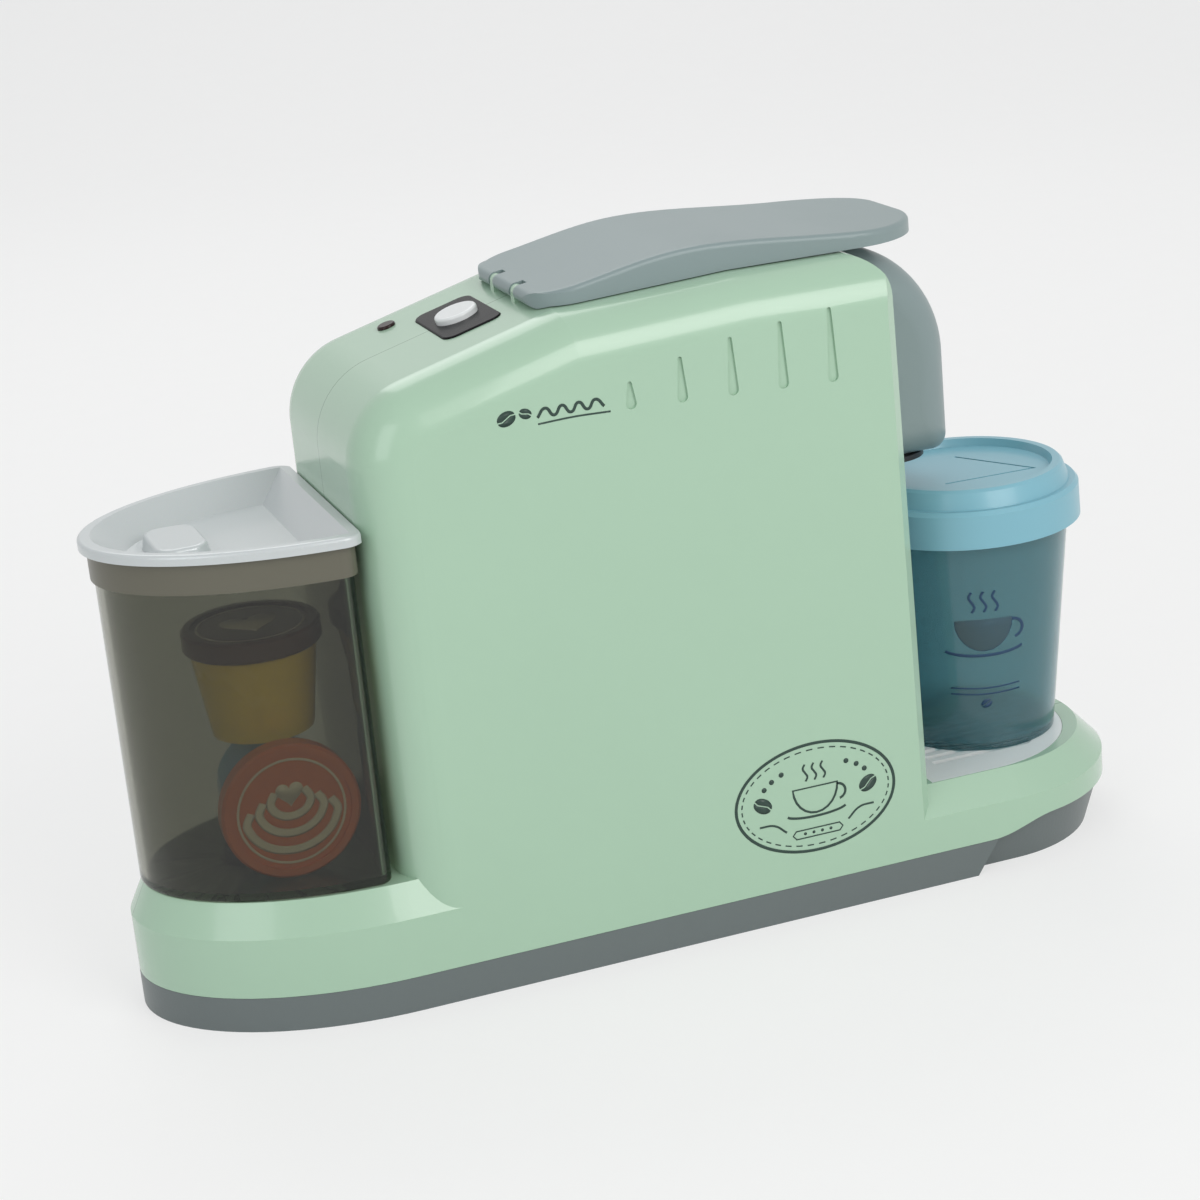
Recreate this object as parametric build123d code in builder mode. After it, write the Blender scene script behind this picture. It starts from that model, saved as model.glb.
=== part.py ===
"""Toy coffee maker: a battery toy with a lift-off water tank, a capsule lever and a cup.

Millimetres. X points to the cup end, Y to the left side, Z up. The origin is on the
surface that the toy stands on, below the middle of its overall box.
"""
from build123d import *
from math import atan, cos, degrees, radians, sin, tan
import os

# ---------------------------------------------------------------- driving dimensions
overall_length = 294.0
half_width = 43.5
wall = 2.4
running_gap = 0.3
fit_gap = 0.15
slip_gap = 0.05

# tower: the tall middle of the casing, as a side profile
tower_rear_x = -79.0
tower_front_x = 75.0
tower_front_lean = 2.0
rear_shoulder_z = 165.3
deck_front_x = -19.0
deck_front_z = 181.5
crown_x = 30.0
crown_z = 184.0
brow_z = 183.4
rear_shoulder_radius = 22.0
front_shoulder_radius = 12.0
side_edge_radius = 14.0
front_edge_chamfer = 3.0

# feet and the grey base
nose_radius = half_width
nose_x = overall_length / 2 - nose_radius
front_foot_top = 28.5
front_bevel_drop = 7.5
front_bevel_inset = 7.0
rear_foot_reach = overall_length / 2 + tower_rear_x
rear_foot_top = 36.0
rear_bevel_drop = 9.0
rear_bevel_inset = 4.5
base_height = 10.0
base_lift_start_x = 93.0
base_lift_end_x = 114.0
base_nose_height = 14.2
base_seam = 0.1
base_band_end_x = 88.0
base_prow_inset = 1.0
base_prow_taper = 17.0
base_floor = 2.4

# vertical grooves on both sides of the tower
groove_count = 5
groove_pitch = 14.4
groove_first_x = -4.5
groove_foot_z = 154.9
groove_fall = 0.6
groove_heights = (7.5, 12.3, 15.8, 18.3, 20.3)
groove_foot_radius = 1.5
groove_tip_radius = 0.6
groove_depth = 0.8

# lever and its hinge
lever_half_width = 30.0
lever_tip_x = 92.0
lever_rear_radius = 12.0
lever_tip_radius = 22.0
lever_wall = 2.2
lever_edge_radius = 1.4
hinge_x = -21.5
hinge_z = 183.2
hinge_barrel_radius = 2.1
hinge_pin_radius = 0.8
hinge_pin_clearance = 0.06
hinge_pin_half_length = 14.0
hinge_ear_y = 9.0
hinge_ear_width = 3.0
hinge_ear_radius = 1.8
lever_crest = ((-8.0, 187.6), (14.0, 191.4), (48.0, 190.4))
lever_tip_top = 188.8

# opening under the lever, with the deck and the capsule chamber in it
opening_rear_x = -17.0
opening_front_x = 62.0
opening_half_width = 25.0
opening_corner = 4.0
ledge_z = 174.0
ledge_width = 1.6
deck_thickness = 2.0
chamber_x = 18.0
chamber_bore_radius = 19.5
chamber_bore_depth = 30.0
chamber_wall = 2.0
chamber_flange = 2.4
chamber_flange_thickness = 1.4
plunger_radius = 13.0
plunger_tip_z = 178.4

# control panel and button, on the sloping rear deck
panel_x = -36.5
panel_length = 17.0
panel_width = 32.0
panel_corner = 3.5
panel_sink = 1.2
panel_proud = 0.5
panel_well_depth = 8.0
panel_well_wall = 0.9
panel_lip = 0.6
button_radius = 6.0
button_proud = 2.4
button_travel = 1.5
button_flange = 0.7
button_flange_thickness = 1.0
button_shoulder = 0.1
button_stem_radius = 2.0
pad_radius = 4.0
pad_height = 1.0
button_board_thickness = 1.6
button_board_margin = 1.0
lens_x = -51.0
lens_y = 21.0
lens_radius = 2.6
lens_proud = 0.9
lens_flange = 1.2

# spout
spout_half_width = 17.0
spout_front_x = 102.0
spout_bottom_z = 118.0
spout_top_z = 181.4
spout_tail_x = 64.5
spout_crown_radius = 34.0
spout_chin_radius = 4.0
spout_edge_radius = 11.0
spout_wall = 2.0
spout_flange = 2.0
spout_flange_x = 70.3
spout_flange_reach = 3.0
spout_flange_foot = 1.0
spout_flange_height = 54.0
nozzle_x = 86.5
nozzle_radius = 11.0
nozzle_drop = 1.5
nozzle_bore = 7.0
nipple_radius = 3.0
nipple_bore = 1.8
nozzle_feed_z = 128.0

# grey panel behind the cup
niche_side_margin = 12.5
niche_bottom_z = 33.0
niche_top_z = 113.0
niche_depth = 1.2

# drip tray and cup
tray_nose_setback = 4.5
tray_side_margin = 7.5
tray_rear_x = 78.5
tray_rim_thickness = 1.3
tray_depth = 7.0
tray_wall = 1.8
tray_seat = 1.8
slat_width = 2.2
slat_pitch = 4.6
slat_count = 11
cup_room = overall_length / 2 - tower_front_x
cup_setback = 0.5
cup_foot_radius = 23.5 / 72.0 * cup_room
cup_mouth_radius = 31.0 / 72.0 * cup_room
cup_height = 74.0
cup_wall = 1.5
cup_floor = 2.0
lid_skirt_radius = 33.8 / 72.0 * cup_room
lid_skirt_drop = 9.0
lid_wall = 1.8
lid_shoulder_radius = 31.0 / 72.0 * cup_room
lid_crown_radius = 28.5 / 72.0 * cup_room
lid_crown_height = 5.4
lid_roof = 1.8
lid_rim_width = 2.2
lid_sink = 2.2
lid_slit_width = 0.8
lid_tab_turn = -32.0
lid_tab_reach = 0.75
lid_tab_angle = 30.0

# water tank, its collar and its lid
tank_tower_gap = 2.5
tank_setback = 6.5
tank_side_margin = 5.0
tank_wall = 1.8
tank_floor = 2.4
tank_top_z = 123.0
tank_corner = 4.0
collar_top_z = 131.5
collar_outset = 1.0
collar_wall = 2.6
lid_outset = 3.0
lid_plate = 2.8
lid_front_gap = 0.4
pan_inset = 3.5
pan_depth = 7.5
pan_slope = 8.0
pan_floor = 1.6
grip_length = 16.0
grip_width = 26.0
grip_height = 4.0

# valve between tank and foot
seal_radius = 7.0
seal_stem_radius = 5.0
seal_drop = 9.0
seal_flange = 2.4
dock_radius = 10.0
dock_wall = 2.0
dock_mouth_radius = 8.5

# pump
pump_x = -50.0
pump_radius = 17.0
pump_wall = 2.0
pump_bottom_z = 6.0
pump_top_z = 18.0
pump_cover_thickness = 2.0
pump_port_z = 12.0
pump_port_reach = 6.0
pump_ring_wall = 3.0
motor_radius = 11.0
motor_height = 26.0
motor_flat = 1.0
shaft_radius = 1.0
impeller_hub_radius = 3.5
impeller_radius = 13.0
impeller_height = 6.0
impeller_blades = 6
blade_thickness = 1.4
tube_wall = 1.2
tube_straight = 17.0

# batteries, board and speaker
battery_radius = 7.1
battery_length = 50.5
battery_pitch = 15.2
battery_count = 3
battery_x = 12.0
battery_box_wall = 1.6
battery_box_height = 17.6
contact_thickness = 1.1
contact_width = 10.0
contact_height = 10.0
door_thickness = 2.2
door_lip = 2.0
board_z = 22.0
board_thickness = 1.6
board_length = 66.0
board_width = 44.0
post_radius = 3.0
post_inset = 4.0
small_screw_radius = 1.1
small_head_radius = 2.2
small_head_height = 1.6
small_screw_length = 6.0
small_thread_depth = 7.0
chip_height = 2.0
speaker_x = overall_length / 2 - 52.0
speaker_radius = 18.0
speaker_height = 8.6
speaker_ring_wall = 1.6
grille_hole_radius = 1.2

# casing screws
screw_radius = 1.5
screw_head_radius = 3.0
screw_head_height = 2.2
shell_screw_spots = ((-66.0, 140.0), (62.0, 96.0), (-64.0, 62.0), (58.0, 50.0))
shell_boss_radius = 4.6
shell_screw_head_y = 14.0
shell_screw_length = 22.0
base_screw_x = (-60.0, 66.0)
base_screw_inset = 9.0
base_boss_radius = 4.6
boss_rib = 2.0
base_boss_top = 32.0
base_screw_length = 20.0

# capsules
capsule_rim_radius = 19.0
capsule_shoulder_radius = 17.4
capsule_foot_radius = 14.0
capsule_height = 30.0
capsule_cap_height = 6.0
capsule_wall = 1.2
capsule_front_gap = 1.7
capsule_tail_y = 4.5
capsule_stand_y = -2.0
capsule_stand_z = 74.5

# wires
wire_diameter = 1.4
wire_rise = 12.0

# ---------------------------------------------------------------- derived places
deck_slope = (deck_front_z - rear_shoulder_z) / (deck_front_x - tower_rear_x)
deck_angle = degrees(atan(deck_slope))
ledge_floor = ledge_z - ledge_width
niche_half_width = half_width - niche_side_margin
tray_x = nose_x - tray_nose_setback
tray_radius = half_width - tray_side_margin
cup_x = tower_front_x + cup_room / 2 - cup_setback
tank_front_x = tower_rear_x - tank_tower_gap
tank_reach = rear_foot_reach - tank_setback
tank_half_width = half_width - tank_side_margin
valve_x = tank_front_x - tank_reach / 2
capsule_x = tank_front_x - tank_wall - capsule_rim_radius - capsule_front_gap
base_screw_y = half_width - base_screw_inset
base_screw_spots = [(x, side * base_screw_y) for x in base_screw_x for side in (-1, 1)]
deck_top_z = ledge_z + deck_thickness
cup_foot_z = front_foot_top
motor_foot_z = pump_top_z + pump_cover_thickness
battery_z = door_thickness + battery_radius + slip_gap


def deck_height(x):
    """Height of the sloping rear deck at x."""
    return deck_front_z + deck_slope * (x - deck_front_x)


def deck_plane(x, lift=0.0, across=0.0):
    """Plane on the rear deck at x, its X up the slope and its Z out of the deck."""
    slope = radians(deck_angle)
    normal = (-sin(slope), 0, cos(slope))
    origin = (x + normal[0] * lift, across, deck_height(x) + normal[2] * lift)
    return Plane(origin=origin, x_dir=(cos(slope), 0, sin(slope)), z_dir=normal)


def side_plane(y):
    """Plane facing -Y at the given y: its X is the part's X, its Y the part's Z."""
    return Plane.XZ.offset(-y)


# ---------------------------------------------------------------- outer forms
def tower_form(inset):
    """The tower as a solid, every face moved in by inset."""
    roomy = 60.0
    with BuildPart() as rounded:
        with BuildSketch(Plane.XZ):
            with BuildLine():
                Polyline(
                    (tower_rear_x, -roomy),
                    (tower_rear_x, rear_shoulder_z),
                    (deck_front_x, deck_front_z),
                    (crown_x, crown_z),
                    (tower_front_x + roomy, brow_z),
                    (tower_front_x + roomy, -roomy),
                    close=True,
                )
            make_face()
            rear = vertices().filter_by(lambda v: abs(v.Y - rear_shoulder_z) < 0.1)
            fillet(rear, radius=rear_shoulder_radius)
            if inset:
                offset(amount=-inset)
        extrude(amount=half_width - inset, both=True)
        outline = rounded.faces().filter_by(Axis.Y).edges()
        soft = outline.filter_by(
            lambda e: e.center().Z > -roomy + 5 and e.center().X < tower_front_x + roomy - 5
        )
        fillet(soft, radius=side_edge_radius - inset)
    with BuildPart() as fronted:
        with BuildSketch(Plane.XZ):
            with BuildLine():
                Polyline(
                    (tower_rear_x - roomy, -roomy),
                    (tower_rear_x - roomy, crown_z + 1.0),
                    (crown_x, crown_z + 1.0),
                    (tower_front_x - tower_front_lean, brow_z + 0.4),
                    (tower_front_x, base_height),
                    (tower_front_x, -roomy),
                    close=True,
                )
            make_face()
            brow = vertices().filter_by(lambda v: abs(v.Y - brow_z - 0.4) < 0.05)
            fillet(brow, radius=front_shoulder_radius)
            if inset:
                offset(amount=-inset)
        extrude(amount=half_width - inset, both=True)
        rim = fronted.faces().filter_by(Axis.Y).edges()
        front_rim = rim.filter_by(lambda e: e.center().X > tower_front_x - 14 and e.center().Z > -40)
        chamfer(front_rim, length=front_edge_chamfer)
    with BuildPart() as form:
        add(rounded.part)
        add(fronted.part, mode=Mode.INTERSECT)
    return form.part


def nose_outline(inset):
    """Plan of the front foot: straight sides and a half-round nose."""
    with BuildSketch() as plan:
        with Locations((nose_x, 0)):
            Circle(nose_radius - inset)
        with Locations((nose_x, 0)):
            Rectangle(nose_x, 2 * (half_width - inset), align=(Align.MAX, Align.CENTER))
    return plan.sketch


def rear_outline(inset):
    """Plan of the rear foot: half an ellipse behind the tower."""
    with BuildSketch() as plan:
        with Locations((tower_rear_x, 0)):
            Ellipse(rear_foot_reach - inset, half_width - inset)
            Rectangle(
                4 * rear_foot_reach, 3 * half_width, align=(Align.MIN, Align.CENTER), mode=Mode.SUBTRACT
            )
        with Locations((tower_rear_x, 0)):
            Rectangle(60.0, 2 * (half_width - inset), align=(Align.MIN, Align.CENTER))
    return plan.sketch


def foot_form(outline, top, drop, shelf, inset):
    """A foot as a solid whose top edge has a bevel, drop high and shelf wide."""
    with BuildPart() as foot:
        with BuildSketch():
            add(outline)
        extrude(amount=top - inset)
        lid_face = foot.faces().sort_by(Axis.Z)[-1]
        chamfer(lid_face.edges(), length=shelf, length2=drop, reference=lid_face)
    return foot.part


def front_foot_form(inset):
    return foot_form(nose_outline(inset), front_foot_top, front_bevel_drop, front_bevel_inset, inset)


def rear_foot_form(inset):
    return foot_form(rear_outline(inset), rear_foot_top, rear_bevel_drop, rear_bevel_inset, inset)


def below_seam(drop):
    """Everything under the line where the green casing meets the grey base."""
    reach = overall_length
    with BuildPart() as zone:
        with BuildSketch(Plane.XZ):
            with BuildLine():
                rear = Line((-reach, -reach), (-reach, base_height - drop))
                flat = Line(rear @ 1, (base_lift_start_x, base_height - drop))
                rise = Spline(
                    flat @ 1,
                    (base_lift_end_x, base_nose_height - drop),
                    tangents=[(1, 0), (1, 0)],
                )
                nose = Line(rise @ 1, (reach, base_nose_height - drop))
                front = Line(nose @ 1, (reach, -reach))
                Line(front @ 1, rear @ 0)
            make_face()
        extrude(amount=2 * half_width, both=True)
    return zone.part


def box_between(low, high):
    """Box between two corners."""
    size = [b - a for a, b in zip(low, high)]
    middle = [(a + b) / 2 for a, b in zip(low, high)]
    with BuildPart() as block:
        with Locations(tuple(middle)):
            Box(*size)
    return block.part


def rod(plane, radius, length, bore=0.0):
    """Round bar, or tube when it has a bore, that grows from a plane."""
    with BuildPart() as bar:
        with BuildSketch(plane):
            Circle(radius)
            if bore:
                Circle(bore, mode=Mode.SUBTRACT)
        extrude(amount=length)
    return bar.part


def soft_path(points, name):
    """Straight runs joined by arcs as wide as the runs allow."""
    corners = [Vector(*p) for p in points]
    radii = []
    for before, corner, after in zip(corners, corners[1:], corners[2:]):
        arriving = corner - before
        leaving = after - corner
        turn = radians(arriving.get_angle(leaving))
        radii.append(0.45 * min(arriving.length, leaving.length) / tan(turn / 2))
    print(name, "bend radii", [round(r, 1) for r in radii])
    with BuildLine() as path:
        FilletPolyline(*points, radius=radii)
    return path.line


def tube_along(points, radius, name, bore=0.0):
    """Tube or solid wire along a soft path."""
    path = soft_path(points, name)
    start = Plane(origin=path @ 0, z_dir=path % 0)
    with BuildPart() as tube:
        with BuildSketch(start):
            Circle(radius)
            if bore:
                Circle(bore, mode=Mode.SUBTRACT)
        sweep(path=path)
    print(name, "length", round(sum(edge.length for edge in path.edges()), 1))
    return tube.part


# ---------------------------------------------------------------- spout outline
def spout_form(inset):
    """The spout as a solid block, its front rounded and its crown curved back."""
    with BuildPart() as form:
        with BuildSketch(Plane.XZ):
            with BuildLine():
                Polyline(
                    (spout_tail_x, spout_bottom_z + inset),
                    (spout_front_x - inset, spout_bottom_z + inset),
                    (spout_front_x - inset, spout_top_z - inset),
                    (spout_tail_x, spout_top_z - inset),
                    close=True,
                )
            make_face()
            nose = vertices().filter_by(lambda v: v.X > spout_tail_x + 1)
            fillet(nose.sort_by(Axis.Y)[-1], radius=spout_crown_radius - inset)
            chin = vertices().filter_by(lambda v: v.X > spout_tail_x + 1).sort_by(Axis.Y)[0]
            fillet(chin, radius=spout_chin_radius - inset / 2)
        extrude(amount=spout_half_width - inset, both=True)
        sides = form.faces().filter_by(Axis.Y).edges()
        curved = sides.filter_by(
            lambda e: e.center().X > spout_tail_x + 2 and e.center().Z > spout_bottom_z + 8
        )
        fillet(curved, radius=spout_edge_radius - inset)
    return form.part


# ---------------------------------------------------------------- casing
def hinge_ears():
    """Two ears on the rear deck that carry the lever pin."""
    with BuildPart() as ears:
        for side in (-1, 1):
            y = side * hinge_ear_y
            with BuildSketch(side_plane(y + hinge_ear_width / 2)):
                with Locations((hinge_x, hinge_z)):
                    Circle(hinge_ear_radius)
                with Locations((hinge_x, hinge_z)):
                    Rectangle(
                        2 * hinge_ear_radius,
                        hinge_z - deck_height(hinge_x) + wall / 2,
                        align=(Align.CENTER, Align.MAX),
                    )
            extrude(amount=hinge_ear_width)
    return ears.part


def ledge_frame():
    """Rib frame below the lever opening, with a ledge that the deck rests on."""
    room = crown_z + 5
    with BuildPart() as frame:
        add(
            box_between(
                (opening_rear_x - ledge_width, -opening_half_width - ledge_width, ledge_floor),
                (opening_front_x + ledge_width, opening_half_width + ledge_width, room),
            )
        )
        add(
            box_between(
                (opening_rear_x + ledge_width, -opening_half_width + ledge_width, ledge_floor - 1),
                (opening_front_x - ledge_width, opening_half_width - ledge_width, ledge_z + 1),
            ),
            mode=Mode.SUBTRACT,
        )
        add(lever_opening(), mode=Mode.SUBTRACT)
    return frame.part


def lever_opening():
    """Room for the chamber deck, from the ledge up through the crown."""
    with BuildPart() as room:
        with BuildSketch(Plane.XY.offset(ledge_z)):
            middle = (opening_rear_x + opening_front_x) / 2
            with Locations((middle, 0)):
                RectangleRounded(
                    opening_front_x - opening_rear_x, 2 * opening_half_width, opening_corner
                )
        extrude(amount=60.0)
    return room.part


def shell_bosses():
    """Round bosses across the casing for the screws that join its halves."""
    with BuildPart() as bosses:
        for x, z in shell_screw_spots:
            add(rod(Plane((x, half_width, z), z_dir=(0, -1, 0)), shell_boss_radius, 2 * half_width))
    return bosses.part


def base_bosses():
    """Upright bosses beside the walls for the screws through the base."""
    with BuildPart() as bosses:
        for x, y in base_screw_spots:
            add(rod(Plane((x, y, base_height)), base_boss_radius, base_boss_top - base_height))
            rib_end = half_width if y > 0 else -half_width
            low = (x - boss_rib / 2, min(y, rib_end), base_height)
            high = (x + boss_rib / 2, max(y, rib_end), base_boss_top)
            add(box_between(low, high))
    return bosses.part


def grooves():
    """Teardrop grooves, a thin layer deep, on both sides of the tower."""
    with BuildPart() as cutters:
        for number in range(groove_count):
            x = groove_first_x + number * groove_pitch
            foot_z = groove_foot_z - number * groove_fall
            with BuildSketch(side_plane(half_width + 1)):
                with Locations((x, foot_z + groove_foot_radius)):
                    Circle(groove_foot_radius)
                with Locations((x, foot_z + groove_heights[number] - groove_tip_radius)):
                    Circle(groove_tip_radius)
                make_hull()
            extrude(amount=2 * half_width + 2)
        add(tower_form(groove_depth), mode=Mode.SUBTRACT)
    return cutters.part


def tray_outline(outset):
    """Plan of the drip tray: half-round at the nose, straight towards the tower."""
    with BuildSketch() as plan:
        with Locations((tray_x, 0)):
            Circle(tray_radius + outset)
        with Locations(((tray_x + tray_rear_x) / 2, 0)):
            Rectangle(tray_x - tray_rear_x, 2 * (tray_radius + outset))
        with Locations((tray_rear_x - outset, 0)):
            Rectangle(80.0, 120.0, align=(Align.MAX, Align.CENTER), mode=Mode.SUBTRACT)
    return plan.sketch


def niche_slab(shrink):
    """Slab in front of the tower between the foot and the spout."""
    return box_between(
        (tower_front_x - 12, -niche_half_width + shrink, niche_bottom_z + shrink),
        (tower_front_x + 12, niche_half_width - shrink, niche_top_z - shrink),
    )


def outer_form():
    """The whole green casing as one solid."""
    with BuildPart() as form:
        add(tower_form(0))
        add(front_foot_form(0))
        add(rear_foot_form(0))
    return form.part


with BuildPart() as casing:
    add(outer_form())
    add(tower_form(wall), mode=Mode.SUBTRACT)
    add(front_foot_form(wall), mode=Mode.SUBTRACT)
    add(rear_foot_form(wall), mode=Mode.SUBTRACT)
    with BuildPart(mode=Mode.PRIVATE) as insides:
        add(ledge_frame())
        add(shell_bosses())
        add(base_bosses())
        add(outer_form(), mode=Mode.INTERSECT)
    add(insides.part)
    add(hinge_ears())
    add(lever_opening(), mode=Mode.SUBTRACT)
    add(below_seam(0), mode=Mode.SUBTRACT)
    add(grooves(), mode=Mode.SUBTRACT)
    # seats and openings for the pieces that show
    add(spout_form(-fit_gap), mode=Mode.SUBTRACT)
    with BuildPart(mode=Mode.PRIVATE) as niche_recess:
        add(tower_form(0))
        add(tower_form(niche_depth), mode=Mode.SUBTRACT)
        add(niche_slab(0), mode=Mode.INTERSECT)
    add(niche_recess.part, mode=Mode.SUBTRACT)
    with BuildSketch(Plane.XY.offset(front_foot_top - tray_rim_thickness)):
        add(tray_outline(fit_gap))
    extrude(amount=10.0, mode=Mode.SUBTRACT)
    with BuildSketch(Plane.XY.offset(front_foot_top - tray_depth)):
        add(tray_outline(-tray_seat))
    extrude(amount=tray_depth, mode=Mode.SUBTRACT)
    with BuildSketch(Plane.XY.offset(rear_foot_top - 2 * wall)):
        with Locations((valve_x, 0)):
            Circle(dock_mouth_radius)
    extrude(amount=3 * wall, mode=Mode.SUBTRACT)
    with BuildSketch(deck_plane(panel_x, -panel_sink)):
        RectangleRounded(panel_length + 2 * fit_gap, panel_width + 2 * fit_gap, panel_corner + fit_gap)
    extrude(amount=10.0, mode=Mode.SUBTRACT)
    with BuildSketch(deck_plane(panel_x, -panel_well_depth)):
        RectangleRounded(
            panel_length - 2 * panel_lip + 2 * fit_gap,
            panel_width - 2 * panel_lip + 2 * fit_gap,
            panel_corner - panel_lip,
        )
    extrude(amount=panel_well_depth, mode=Mode.SUBTRACT)
    with BuildSketch(deck_plane(lens_x, -2 * wall, lens_y)):
        Circle(lens_radius + slip_gap)
    extrude(amount=4 * wall, mode=Mode.SUBTRACT)
    # hinge pin bore through the ears
    with BuildSketch(side_plane(hinge_pin_half_length)):
        with Locations((hinge_x, hinge_z)):
            Circle(hinge_pin_radius)
    extrude(amount=2 * hinge_pin_half_length, mode=Mode.SUBTRACT)
    # screw holes: heads sink in from the left side, threads end in the right half
    for x, z in shell_screw_spots:
        seat = Plane((x, shell_screw_head_y, z), z_dir=(0, 1, 0))
        add(rod(seat, screw_head_radius + fit_gap, half_width), mode=Mode.SUBTRACT)
        tail = Plane((x, shell_screw_head_y, z), z_dir=(0, -1, 0))
        add(rod(tail, screw_radius + slip_gap, shell_screw_length + 2), mode=Mode.SUBTRACT)
    for x, y in base_screw_spots:
        add(
            rod(Plane((x, y, base_height - 1)), screw_radius + slip_gap, base_screw_length),
            mode=Mode.SUBTRACT,
        )

with BuildPart() as right_shell:
    add(casing.part)
    split(bisect_by=Plane.XZ, keep=Keep.TOP)

with BuildPart() as left_shell:
    add(casing.part)
    split(bisect_by=Plane.XZ, keep=Keep.BOTTOM)

# ---------------------------------------------------------------- grey base
battery_bay_length = battery_count * battery_pitch + 2 * slip_gap
battery_bay_width = battery_length + 2 * contact_thickness + 2 * slip_gap
bay_outer_length = battery_bay_length + 2 * battery_box_wall
bay_outer_width = battery_bay_width + 2 * battery_box_wall
prow_top = base_nose_height + 1.0
door_screw_x = battery_x + bay_outer_length / 2 + door_lip + screw_head_radius
door_tab_reach = door_screw_x + screw_head_radius + 3 - battery_x
door_tab_width = 4 * screw_head_radius
board_post_spots = [
    (battery_x + sx * (board_length / 2 - post_inset), sy * (board_width / 2 - post_inset))
    for sx in (-1, 1)
    for sy in (-1, 1)
]


def base_band(inset):
    """Straight-sided rear part of the base."""
    with BuildPart() as band:
        with BuildSketch():
            Rectangle(2 * (base_lift_start_x + base_height), 2 * (half_width - inset))
            with Locations((tower_rear_x, 0)):
                Rectangle(overall_length, overall_length, align=(Align.MAX, Align.CENTER), mode=Mode.SUBTRACT)
            add(rear_outline(inset))
        extrude(amount=2 * base_height)
        with BuildSketch(Plane.XZ):
            Polygon(
                (base_band_end_x - inset, 0),
                (base_lift_start_x + 2 - inset, base_height),
                (base_lift_start_x + 8 - inset, 3 * base_height),
                (overall_length, 3 * base_height),
                (overall_length, -base_height),
                (base_band_end_x - inset - 3, -base_height),
                align=None,
            )
        extrude(amount=half_width + 1, both=True, mode=Mode.SUBTRACT)
    return band.part


def base_prow(inset):
    """Nose of the base, set in a little and tapering down."""
    with BuildPart() as prow:
        with BuildSketch(Plane.XY.offset(prow_top)):
            add(nose_outline(base_prow_inset + inset))
            with Locations((base_band_end_x - 30.0, 0)):
                Rectangle(overall_length, overall_length, align=(Align.MAX, Align.CENTER), mode=Mode.SUBTRACT)
        extrude(amount=-prow_top, taper=base_prow_taper)
    return prow.part


with BuildPart() as base_plate:
    add(base_band(0))
    add(base_prow(0))
    add(below_seam(base_seam), mode=Mode.INTERSECT)
    with BuildPart(mode=Mode.PRIVATE) as room:
        add(base_band(wall))
        add(base_prow(wall))
        add(box_between((-200, -60, -1), (200, 60, base_floor)), mode=Mode.SUBTRACT)
    add(room.part, mode=Mode.SUBTRACT)
    # battery box, screw posts, pump ring and speaker ring
    with BuildSketch():
        with Locations((battery_x, 0)):
            Rectangle(bay_outer_length + 2 * door_lip, bay_outer_width + 2 * door_lip)
    extrude(amount=base_floor + 1.0)
    with BuildSketch():
        with Locations((battery_x, 0)):
            Rectangle(bay_outer_length, bay_outer_width)
    extrude(amount=base_floor + battery_box_height)
    with BuildSketch():
        with Locations((battery_x, 0)):
            Rectangle(battery_bay_length, battery_bay_width)
    extrude(amount=base_floor + battery_box_height - battery_box_wall, mode=Mode.SUBTRACT)
    with BuildSketch():
        with Locations((battery_x, 0)):
            Rectangle(bay_outer_length + 2 * door_lip - 2, bay_outer_width + 2 * door_lip - 2)
        with Locations((battery_x, 0)):
            Rectangle(door_tab_reach, door_tab_width, align=(Align.MIN, Align.CENTER))
    extrude(amount=door_thickness, mode=Mode.SUBTRACT)
    with BuildSketch(Plane.XY.offset(door_thickness)):
        with Locations((door_screw_x, 0)):
            Circle(screw_radius + 2.5)
    extrude(amount=6.0)
    with BuildSketch(Plane.XY.offset(door_thickness)):
        with Locations((door_screw_x, 0)):
            Circle(screw_radius + slip_gap)
    extrude(amount=5.0, mode=Mode.SUBTRACT)
    with BuildSketch(Plane.XY.offset(base_floor)):
        with Locations(*board_post_spots):
            Circle(post_radius)
    extrude(amount=board_z - base_floor)
    with BuildSketch(Plane.XY.offset(board_z)):
        with Locations(*board_post_spots):
            Circle(small_screw_radius + slip_gap)
    extrude(amount=-small_thread_depth, mode=Mode.SUBTRACT)
    with BuildSketch(Plane.XY.offset(base_floor)):
        with Locations((pump_x, 0)):
            Circle(pump_radius)
            Circle(pump_radius - pump_ring_wall, mode=Mode.SUBTRACT)
        with Locations((speaker_x, 0)):
            Circle(speaker_radius + fit_gap + speaker_ring_wall)
            Circle(speaker_radius + fit_gap, mode=Mode.SUBTRACT)
    extrude(amount=pump_bottom_z - base_floor)
    with BuildSketch():
        with Locations((speaker_x, 0)):
            Circle(grille_hole_radius)
            with PolarLocations(5.5, 6):
                Circle(grille_hole_radius)
            with PolarLocations(11.0, 12):
                Circle(grille_hole_radius)
    extrude(amount=base_floor + 1, mode=Mode.SUBTRACT)
    # screws through the base, with their heads sunk
    with BuildSketch(Plane.XY.offset(base_floor)):
        with Locations(*base_screw_spots):
            Circle(screw_head_radius + 2.0)
    extrude(amount=base_height - base_floor)
    with BuildSketch():
        with Locations(*base_screw_spots):
            Circle(screw_head_radius + fit_gap)
    extrude(amount=base_floor + screw_head_height, mode=Mode.SUBTRACT)
    with BuildSketch():
        with Locations(*base_screw_spots):
            Circle(screw_radius + slip_gap)
    extrude(amount=base_height, mode=Mode.SUBTRACT)

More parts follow.
